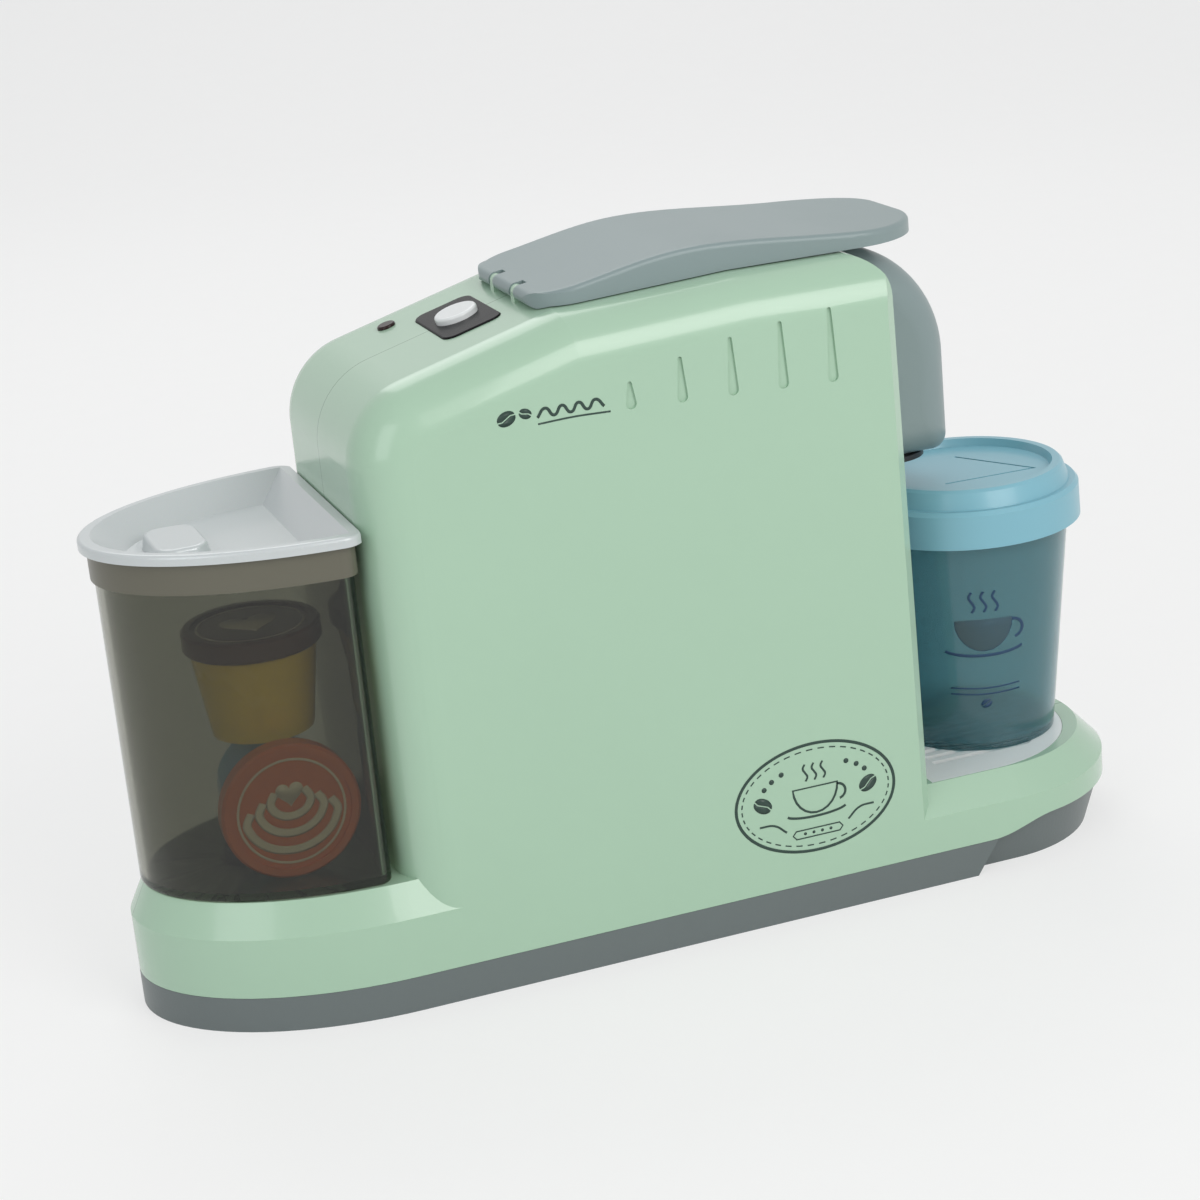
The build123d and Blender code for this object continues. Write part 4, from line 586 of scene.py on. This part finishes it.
def finish_piece(name, art, material, body):
    """Object from a bmesh, with its material and under its body."""
    mesh = bpy.data.meshes.new(name)
    bmesh.ops.recalc_face_normals(art, faces=art.faces)
    art.to_mesh(mesh)
    art.free()
    for face in mesh.polygons:
        face.use_smooth = True
    mesh.materials.append(material)
    piece = bpy.data.objects.new(name, mesh)
    bpy.context.scene.collection.objects.link(piece)
    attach(piece, body)
    return piece


def oval(half_length, half_height, count=40, start=0.0, end=2 * pi, centre=(0.0, 0.0)):
    """Points on an oval, or on a part of one."""
    whole = abs(end - start - 2 * pi) < 1e-6
    steps = count if whole else count - 1
    return [
        (
            centre[0] + half_length * cos(start + (end - start) * number / steps),
            centre[1] + half_height * sin(start + (end - start) * number / steps),
        )
        for number in range(count)
    ]


def bean_shapes(centre, size, turn, line):
    """Coffee bean: a filled oval with its crease left open."""
    half = size / 2
    shapes = []
    for side in (-1, 1):
        edge = [
            (half * 0.96 * cos(angle), side * half * 0.66 * sin(angle) + side * line * 0.35)
            for angle in [pi * step / 12 for step in range(13)]
        ]
        middle = side * line * 0.3
        crease = [(-half * 0.5, middle - half * 0.12), (half * 0.5, middle + half * 0.12)]
        placed = [
            (
                centre[0] + x * cos(turn) - y * sin(turn),
                centre[1] + x * sin(turn) + y * cos(turn),
            )
            for x, y in edge + crease
        ]
        shapes.append(curve_mesh(placed, 0, filled=True, smooth=False))
    return shapes


def steam_line(x, foot, height, sway):
    """Points of one wisp of steam."""
    return [(x + sway * sin(step * pi / 2), foot + height * step / 4) for step in range(5)]


def little_cup(centre, width, line, filled):
    """Round cup on a saucer with steam, as a plain sign for a hot drink."""
    x, y = centre
    half = width / 2
    bowl = [(x - half, y + half * 0.55), (x + half, y + half * 0.55)]
    bowl += [
        (x + half * cos(angle), y + half * 0.55 + half * 1.15 * sin(angle))
        for angle in [-pi * step / 12 for step in range(1, 12)]
    ]
    shapes = [curve_mesh(bowl, line, filled=filled, closed=True, smooth=False)]
    handle = oval(half * 0.36, half * 0.34, 12, -pi * 0.42, pi * 0.5, (x + half * 0.98, y + half * 0.12))
    shapes.append(curve_mesh(handle, line * 1.1))
    saucer = oval(half * 1.35, half * 0.26, 16, pi * 1.08, pi * 1.92, (x, y - half * 0.5))
    shapes.append(curve_mesh(saucer, line * 1.1))
    for offset in (-0.4, 0.0, 0.4):
        wisp = steam_line(x + offset * half, y + half * 0.85, half * 0.75, half * 0.09)
        shapes.append(curve_mesh(wisp, line * 0.9))
    return shapes


# ---------------------------------------------------------------- operators
class StageOperator(bpy.types.Operator):
    """Build the floor, the backdrop, the lamps and the camera"""

    bl_idname = "coffee_toy.stage"
    bl_label = "Stage"

    def execute(self, context):
        studio = context.scene.studio_settings
        self.sweep(studio)
        self.lamps(studio)
        self.camera(context, studio)
        return {"FINISHED"}

    def sweep(self, studio):
        """Floor that curves up into a backdrop."""
        art = bmesh.new()
        bmesh.ops.create_grid(art, x_segments=1, y_segments=1, size=FLOOR_HALF)
        rear = [edge for edge in art.edges if all(v.co.y > FLOOR_REAR for v in edge.verts)]
        raised = bmesh.ops.extrude_edge_only(art, edges=rear)["geom"]
        upper = [item for item in raised if isinstance(item, bmesh.types.BMVert)]
        bmesh.ops.translate(art, verts=upper, vec=(0, 0, BACKDROP_HEIGHT))
        fold = [
            edge for edge in art.edges if all(v.co.y > FLOOR_REAR and v.co.z < 0.01 for v in edge.verts)
        ]
        bmesh.ops.bevel(
            art, geom=fold, offset=BACKDROP_BEND, offset_type="OFFSET", segments=16, profile=0.5,
            affect="EDGES", material=-1,
        )
        turn = Matrix.Rotation(BACKDROP_TURN, 3, "Z")
        bmesh.ops.rotate(art, verts=art.verts, cent=(0, 0, 0), matrix=turn)
        mesh = bpy.data.meshes.new("studio_sweep")
        art.to_mesh(mesh)
        art.free()
        for face in mesh.polygons:
            face.use_smooth = True
        material, tree, shader, place = blank_material("studio_paper")
        noise = new_node(tree, "ShaderNodeTexNoise", -600, 0)
        noise.inputs["Scale"].default_value = 60.0
        link(tree, place, noise.inputs["Vector"])
        tone = studio.floor
        pale = blend_colour(tree, noise.outputs["Fac"], tone, tuple(channel * 1.03 for channel in tone))
        link(tree, pale, shader.inputs["Base Color"])
        shader.inputs["Roughness"].default_value = 0.75
        white = new_node(tree, "ShaderNodeEmission", 300, 300)
        lit = new_node(tree, "ShaderNodeMixShader", 600, 100)
        link(tree, maths(tree, "MULTIPLY", self.seen(tree), studio.paleness), lit.inputs[0])
        link(tree, shader.outputs[0], lit.inputs[1])
        link(tree, white.outputs[0], lit.inputs[2])
        link(tree, lit.outputs[0], tree.nodes["Material Output"].inputs["Surface"])
        mesh.materials.append(material)
        sweep = bpy.data.objects.new("studio_sweep", mesh)
        bpy.context.scene.collection.objects.link(sweep)

    def seen(self, tree):
        """One for the rays that show the background: straight, mirrored or through glass."""
        path = new_node(tree, "ShaderNodeLightPath", -600, 500)
        mirrored = maths(tree, "MAXIMUM", path.outputs["Is Glossy Ray"], path.outputs["Is Transmission Ray"])
        return maths(tree, "MAXIMUM", path.outputs["Is Camera Ray"], mirrored)

    def lamps(self, studio):
        """Large soft lamps and an even sky."""
        plan = (
            ("key_lamp", (0.45, -1.15, 0.85), (0.8, 0.8), studio.key, (1.0, 0.99, 0.97)),
            ("fill_lamp", (-0.95, -0.75, 0.60), (0.6, 0.9), studio.fill, (0.96, 0.98, 1.0)),
            ("rim_lamp", (0.1, 1.0, 1.2), (0.9, 0.9), studio.rim, (1.0, 1.0, 1.0)),
        )
        target = Vector(LAMP_TARGET)
        for name, spot, extent, power, tone in plan:
            data = bpy.data.lights.new(name, "AREA")
            data.shape = "RECTANGLE"
            data.size, data.size_y = extent
            data.energy = power
            data.color = tone
            lamp = bpy.data.objects.new(name, data)
            lamp.location = spot
            lamp.rotation_euler = (target - Vector(spot)).to_track_quat("-Z", "Y").to_euler()
            bpy.context.scene.collection.objects.link(lamp)
        world = bpy.data.worlds.new("studio_sky")
        world.use_nodes = True
        bpy.context.scene.world = world
        tree = world.node_tree
        sky = tree.nodes["Background"]
        sky.inputs["Color"].default_value = (0.96, 0.98, 1.0, 1.0)
        sky.inputs["Strength"].default_value = studio.sky
        white = new_node(tree, "ShaderNodeBackground", 0, -200)
        mix = new_node(tree, "ShaderNodeMixShader", 200, 0)
        link(tree, self.seen(tree), mix.inputs[0])
        link(tree, sky.outputs[0], mix.inputs[1])
        link(tree, white.outputs[0], mix.inputs[2])
        link(tree, mix.outputs[0], tree.nodes["World Output"].inputs["Surface"])

    def camera(self, context, studio):
        """Camera looking down on the right side from the tank's end."""
        spot = Vector(CAMERA_SPOT)
        lean = Vector(CAMERA_LEAN)
        forward = (Vector(CAMERA_TARGET) - spot).normalized()
        up = (lean - forward * lean.dot(forward)).normalized()
        right = forward.cross(up)
        turn = Matrix((right, up, -forward)).transposed().to_4x4()
        data = bpy.data.cameras.new("camera")
        data.lens = studio.lens
        data.sensor_width = SENSOR_WIDTH
        camera = bpy.data.objects.new("camera", data)
        camera.matrix_world = Matrix.Translation(spot) @ turn
        context.scene.collection.objects.link(camera)
        context.scene.camera = camera
        context.scene.view_settings.view_transform = "Standard"


class CasingOperator(bpy.types.Operator):
    """Finish the casing, the base, the niche and their screws"""

    bl_idname = "coffee_toy.casing"
    bl_label = "Casing and base"

    def execute(self, context):
        tones = context.scene.casing_settings
        dress(casing_plastic(tuple(tones.mint), tones.gloss, tones.seam), "right_shell", "left_shell")
        base = plastic(
            "base_plastic", tuple(tones.base), roughness=0.38, smudge=0.04, grain=1100.0, depth=0.00004
        )
        dress(base, "base_plate", "battery_door")
        niche = plastic("niche_plastic", tuple(tones.niche), roughness=0.33, grain=1000.0, depth=0.00003)
        dress(niche, "niche_panel")
        steel = metal("screw_steel", (0.48, 0.48, 0.50), roughness=0.3)
        dress(steel, "base_screws", "shell_screws", "battery_door_screw", "board_screws")
        dress(steel, "lever_pin", "motor_shaft")
        return {"FINISHED"}


class LeverOperator(bpy.types.Operator):
    """Finish the lever, the plunger, the spout and the chamber"""

    bl_idname = "coffee_toy.lever"
    bl_label = "Lever and spout"

    def execute(self, context):
        tones = context.scene.casing_settings
        slate = plastic(
            "slate_plastic", tuple(tones.slate), roughness=0.34, drift=0.03, smudge=0.02, grain=900.0,
            depth=0.00001,
        )
        dress(slate, "lever", "capsule_plunger", "spout_housing", "chamber_deck")
        black = plastic("nozzle_plastic", (0.022, 0.023, 0.025), roughness=0.35, grain=1300.0)
        dress(black, "nozzle", "capsule_chamber")
        return {"FINISHED"}


class ControlsOperator(bpy.types.Operator):
    """Finish the control panel, the button and the lens"""

    bl_idname = "coffee_toy.controls"
    bl_label = "Controls"

    def execute(self, context):
        black, _, shader, _, _ = plastic_nodes(
            "panel_gloss", (0.006, 0.006, 0.007), roughness=0.22, drift=0.1, smudge=0.05, grain=2000.0,
            depth=0.000002,
        )
        shader.inputs["IOR"].default_value = 1.2
        dress(black, "control_panel")
        lens, _, shader, _, _ = plastic_nodes(
            "lens_gloss", (0.020, 0.006, 0.006), roughness=0.12, smudge=0.02, depth=0.000002
        )
        shader.inputs["Specular IOR Level"].default_value = 0.3
        dress(lens, "indicator_lens")
        white = plastic("button_plastic", (0.78, 0.80, 0.80), roughness=0.25, grain=1700.0, coat=0.3)
        dress(white, "power_button")
        dress(rubber("pad_rubber", (0.30, 0.30, 0.31)), "button_pad")
        dress(circuit_green(), "button_board", "circuit_board")
        return {"FINISHED"}


class TankOperator(bpy.types.Operator):
    """Finish the water tank, its collar, lid and seal"""

    bl_idname = "coffee_toy.tank"
    bl_label = "Water tank"

    def execute(self, context):
        tones = context.scene.tank_settings
        smoke = clear_plastic(
            "smoked_plastic", tuple(tones.smoke), tuple(tones.lit_smoke), roughness=0.04, haze=0.03
        )
        dress(smoke, "water_tank")
        collar = plastic("collar_plastic", tuple(tones.collar), roughness=0.32, grain=1200.0)
        dress(collar, "tank_collar")
        dress(pearl_plastic(tuple(tones.silver)), "tank_lid")
        dress(rubber("seal_rubber", (0.030, 0.030, 0.031)), "tank_seal")
        return {"FINISHED"}


class CupOperator(bpy.types.Operator):
    """Finish the cup, its lid and the drip tray"""

    bl_idname = "coffee_toy.cup"
    bl_label = "Cup and tray"

    def execute(self, context):
        tones = context.scene.cup_settings
        tint = tuple(tones.teal)
        teal = clear_plastic("teal_plastic", tint, tint, roughness=0.12, weight=0.82)
        dress(teal, "cup")
        lid = plastic("lid_plastic", tuple(tones.lid), roughness=0.3, drift=0.04, grain=1000.0, coat=0.1)
        dress(lid, "cup_lid")
        white = tuple(tones.tray)
        tray = plastic("tray_plastic", white, roughness=0.28, drift=0.03, grain=1200.0, coat=0.2)
        dress(tray, "drip_tray")
        return {"FINISHED"}


class CapsulesOperator(bpy.types.Operator):
    """Finish the capsules and print foam patterns on their caps"""

    bl_idname = "coffee_toy.capsules"
    bl_label = "Capsules"

    def execute(self, context):
        tones = context.scene.capsule_settings
        for name in ("yellow", "blue", "red"):
            tone = tuple(getattr(tones, name))
            body = plastic(f"{name}_capsule_plastic", tone, roughness=0.25, grain=1100.0, coat=0.2)
            dress(body, f"{name}_capsule")
        foam = ink("foam_ink", tuple(tones.foam), roughness=0.4)
        caps = (
            ("blue_capsule_cap", "orange", (0, -1, 0), (1, 0, 0), "tank", self.tulip),
            ("yellow_capsule_cap", "brown", (0, 0, 1), (1, 0, 0), "tank", self.heart),
            ("red_capsule_cap", "purple", (0, 0, 1), (1, 0, 0), "machine", self.leaf),
        )
        for node, tone, normal, across, body, pattern in caps:
            material = plastic(f"{tone}_cap_plastic", tuple(getattr(tones, tone)), roughness=0.3, coat=0.3)
            dress(material, node)
            low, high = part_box(node)
            middle = (low + high) / 2
            normal = Vector(normal)
            across = Vector(across)
            turn = Matrix((across, normal.cross(across), normal)).transposed().to_4x4()
            place = Matrix.Translation(middle + normal * CAP_CAST_REACH) @ turn
            art = gather(pattern())
            press_onto(art, node, place)
            finish_piece(f"{node}_print", art, foam, body)
        return {"FINISHED"}

    def ring(self):
        """Thin ring near the rim of the sunk disc."""
        return curve_mesh(oval(14.6 * MM, 14.6 * MM, 28), 0.7 * MM, closed=True)

    def tulip(self):
        """Poured tulip: nested curls under a small heart."""
        shapes = [self.ring()]
        for size, rise in ((12.6, -0.2), (9.0, 1.6), (5.6, 3.4)):
            arc = oval(size * MM, size * 0.86 * MM, 18, radians(188), radians(352), (0, rise * MM))
            left = (arc[0][0] + 1.6 * MM, arc[0][1] + 3.2 * MM)
            right = (arc[-1][0] - 1.6 * MM, arc[-1][1] + 3.2 * MM)
            shapes.append(curve_mesh([left, *arc, right], 2.4 * MM))
        shapes.append(self.heart_area(0.0, 5.2 * MM, 3.8 * MM))
        return shapes

    def heart(self):
        """Poured heart."""
        return [self.ring(), self.heart_area(0.0, 0.8 * MM, 8.0 * MM)]

    def heart_area(self, x, y, size):
        """Filled heart with its point down."""
        ring = []
        for step in range(28):
            angle = 2 * pi * step / 28
            across = sin(angle) ** 3
            upright = (13 * cos(angle) - 5 * cos(2 * angle) - 2 * cos(3 * angle) - cos(4 * angle)) / 16
            ring.append((x + across * size, y + upright * size))
        return curve_mesh(ring, 0, filled=True, smooth=False)

    def leaf(self):
        """Poured leaf: a stem with curved ribs."""
        shapes = [self.ring(), curve_mesh([(0, -10 * MM), (0, 0), (0, 10 * MM)], 0.9 * MM)]
        for step in range(5):
            rise = (-6.5 + 3.4 * step) * MM
            reach = (7.6 - 1.1 * step) * MM
            for side in (-1, 1):
                rib = [(0, rise), (side * reach * 0.6, rise + 1.4 * MM), (side * reach, rise + 4.6 * MM)]
                shapes.append(curve_mesh(rib, 1.3 * MM))
        return shapes


class WorksOperator(bpy.types.Operator):
    """Finish the pump, motor, tubes, batteries, speaker and wires"""

    bl_idname = "coffee_toy.works"
    bl_label = "Works inside"

    def execute(self, context):
        pale = plastic("works_plastic", (0.46, 0.48, 0.47), roughness=0.4, grain=900.0)
        dress(pale, "pump_housing", "pump_cover", "dock_socket", "pump_impeller")
        dress(metal("motor_can", (0.56, 0.56, 0.57), roughness=0.25, density=1200.0), "pump_motor")
        dress(metal("contact_nickel", (0.62, 0.60, 0.54), roughness=0.22), "battery_contacts")
        pale_blue = (0.80, 0.87, 0.86)
        tube = clear_plastic("tube_plastic", pale_blue, pale_blue, roughness=0.12)
        dress(tube, "inlet_tube", "outlet_tube")
        dress(cell_jacket(), "batteries")
        dress(speaker_paper(), "speaker")
        dress(rubber("red_wire", (0.420, 0.018, 0.016)), "motor_lead", "button_lead")
        dress(rubber("black_wire", (0.016, 0.016, 0.017)), "speaker_lead", "battery_lead")
        return {"FINISHED"}


def side_view(x, z):
    """Placement of flat art on the right side: its X runs along the part, its Y up."""
    turn = Matrix(((1, 0, 0), (0, 0, -1), (0, 1, 0))).to_4x4()
    return Matrix.Translation((x, -CAST_REACH, z)) @ turn


class BadgeOperator(bpy.types.Operator):
    """Print the oval badge with a plain cup on the right side"""

    bl_idname = "coffee_toy.badge"
    bl_label = "Side badge"

    def execute(self, context):
        prints = context.scene.print_settings
        half_length = prints.badge_length / 2
        half_height = prints.badge_height / 2
        line = prints.line
        inset = 1.7 * MM
        bean_reach, bean_size = 16.0 * MM, 6.0 * MM
        dots, dot_radius = 3, 0.75 * MM
        shapes = [curve_mesh(oval(half_length, half_height, 48), line * 1.6, closed=True)]
        inner_length = half_length - inset
        inner_height = half_height - inset
        step = 2 * pi / prints.dashes
        for number in range(prints.dashes):
            start = number * step
            dash = oval(inner_length, inner_height, 4, start, start + step * 0.55)
            shapes.append(curve_mesh(dash, line * 0.7))
        shapes += little_cup((0, -0.6 * MM), 13.5 * MM, line * 1.2, False)
        for side in (-1, 1):
            shapes += bean_shapes((side * bean_reach, 0.6 * MM), bean_size, side * 0.6, line)
            swash = [
                (side * 9.4 * MM, -8.8 * MM), (side * 13.0 * MM, -6.0 * MM), (side * 17.4 * MM, -5.6 * MM),
            ]
            shapes.append(curve_mesh(swash, line * 1.1))
            for number in range(dots):
                angle = pi / 2 - side * radians(34 + 13 * number)
                spot = (17.6 * MM * cos(angle), 10.4 * MM * sin(angle))
                shapes.append(curve_mesh(oval(dot_radius, dot_radius, 10, centre=spot), 0, filled=True))
        plate = [
            (-6.6 * MM, -11.6 * MM), (6.6 * MM, -11.6 * MM), (7.6 * MM, -10.4 * MM), (6.6 * MM, -9.2 * MM),
            (-6.6 * MM, -9.2 * MM), (-7.6 * MM, -10.4 * MM),
        ]
        shapes.append(curve_mesh(plate, line * 0.8, closed=True, smooth=False))
        for side in (-3, -1, 1, 3):
            dot = oval(0.45 * MM, 0.45 * MM, 10, centre=(side * 1.3 * MM, -10.4 * MM))
            shapes.append(curve_mesh(dot, 0, filled=True))
        art = gather(shapes)
        press_onto(art, "right_shell", side_view(*BADGE_SPOT))
        dark = ink("badge_ink", tuple(prints.green_ink))
        finish_piece("side_badge", art, dark, "machine")
        return {"FINISHED"}


class SideMarkOperator(bpy.types.Operator):
    """Print the small bean and its flourish high on the right side"""

    bl_idname = "coffee_toy.side_mark"
    bl_label = "Bean mark"

    def execute(self, context):
        prints = context.scene.print_settings
        line = prints.line
        shapes = bean_shapes((-13.4 * MM, 0.0), 5.4 * MM, 0.35, line)
        shapes += bean_shapes((-8.2 * MM, 0.5 * MM), 3.6 * MM, -0.4, line)
        wave = [((-5.0 + 2.3 * step) * MM, (1.1 if step % 2 else -1.1) * MM) for step in range(9)]
        shapes.append(curve_mesh(wave, line * 1.5))
        rule = [(-5.0 * MM, -2.8 * MM), (5.0 * MM, -2.5 * MM), (15.0 * MM, -2.8 * MM)]
        shapes.append(curve_mesh(rule, line * 0.9))
        art = gather(shapes)
        press_onto(art, "right_shell", side_view(*MARK_SPOT))
        dark = ink("mark_ink", tuple(prints.green_ink))
        finish_piece("side_mark", art, dark, "machine")
        return {"FINISHED"}


class CupPrintOperator(bpy.types.Operator):
    """Print a plain cup sign on the cup"""

    bl_idname = "coffee_toy.cup_print"
    bl_label = "Cup print"

    def execute(self, context):
        prints = context.scene.print_settings
        line = prints.line
        low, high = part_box("cup")
        middle = (low + high) / 2
        facing = Vector(CUP_PRINT_FACING).normalized()
        upright = Vector((0, 0, 1))
        across = upright.cross(facing).normalized()
        turn = Matrix((across, upright, facing)).transposed().to_4x4()
        spot = Vector((middle.x, middle.y, low.z + CUP_PRINT_RISE)) + facing * CAST_REACH
        shapes = little_cup((0, 1.0 * MM), 17.0 * MM, line * 1.5, True)
        for rise in (-15.5, -17.4):
            rule = [(-10 * MM, rise * MM), (0, (rise - 0.4) * MM), (10 * MM, rise * MM)]
            shapes.append(curve_mesh(rule, line * 0.9))
        shapes += bean_shapes((0.0, -20.8 * MM), 3.4 * MM, 0.5, line)
        art = gather(shapes)
        press_onto(art, "cup", Matrix.Translation(spot) @ turn)
        blue = ink("cup_ink", tuple(prints.blue_ink))
        finish_piece("cup_print", art, blue, "drinking_cup")
        return {"FINISHED"}


# ---------------------------------------------------------------- panel
STEPS = (
    StageOperator,
    CasingOperator,
    LeverOperator,
    ControlsOperator,
    TankOperator,
    CupOperator,
    CapsulesOperator,
    WorksOperator,
    BadgeOperator,
    SideMarkOperator,
    CupPrintOperator,
)
SETTINGS = (
    ("studio_settings", StudioSettings),
    ("casing_settings", CasingSettings),
    ("tank_settings", TankSettings),
    ("cup_settings", CupSettings),
    ("print_settings", PrintSettings),
    ("capsule_settings", CapsuleSettings),
)


class CoffeeToyPanel(bpy.types.Panel):
    """Sizes, colours and steps of the toy coffee maker"""

    bl_idname = "VIEW3D_PT_coffee_toy"
    bl_label = "Toy coffee maker"
    bl_space_type = "VIEW_3D"
    bl_region_type = "UI"
    bl_category = "Coffee maker"

    def draw(self, context):
        layout = self.layout
        for attribute, group in SETTINGS:
            settings = getattr(context.scene, attribute)
            box = layout.box()
            for name in group.__annotations__:
                box.prop(settings, name)
        for step in STEPS:
            layout.operator(step.bl_idname)


def register():
    for attribute, group in SETTINGS:
        bpy.utils.register_class(group)
        setattr(bpy.types.Scene, attribute, PointerProperty(type=group))
    for step in STEPS:
        bpy.utils.register_class(step)
    bpy.utils.register_class(CoffeeToyPanel)


def unregister():
    bpy.utils.unregister_class(CoffeeToyPanel)
    for step in reversed(STEPS):
        bpy.utils.unregister_class(step)
    for attribute, group in reversed(SETTINGS):
        delattr(bpy.types.Scene, attribute)
        bpy.utils.unregister_class(group)


def main():
    register()
    bpy.ops.coffee_toy.stage()
    bpy.ops.coffee_toy.casing()
    bpy.ops.coffee_toy.lever()
    bpy.ops.coffee_toy.controls()
    bpy.ops.coffee_toy.tank()
    bpy.ops.coffee_toy.cup()
    bpy.ops.coffee_toy.capsules()
    bpy.ops.coffee_toy.works()
    bpy.ops.coffee_toy.badge()
    bpy.ops.coffee_toy.side_mark()
    bpy.ops.coffee_toy.cup_print()


if __name__ == "__main__":
    main()
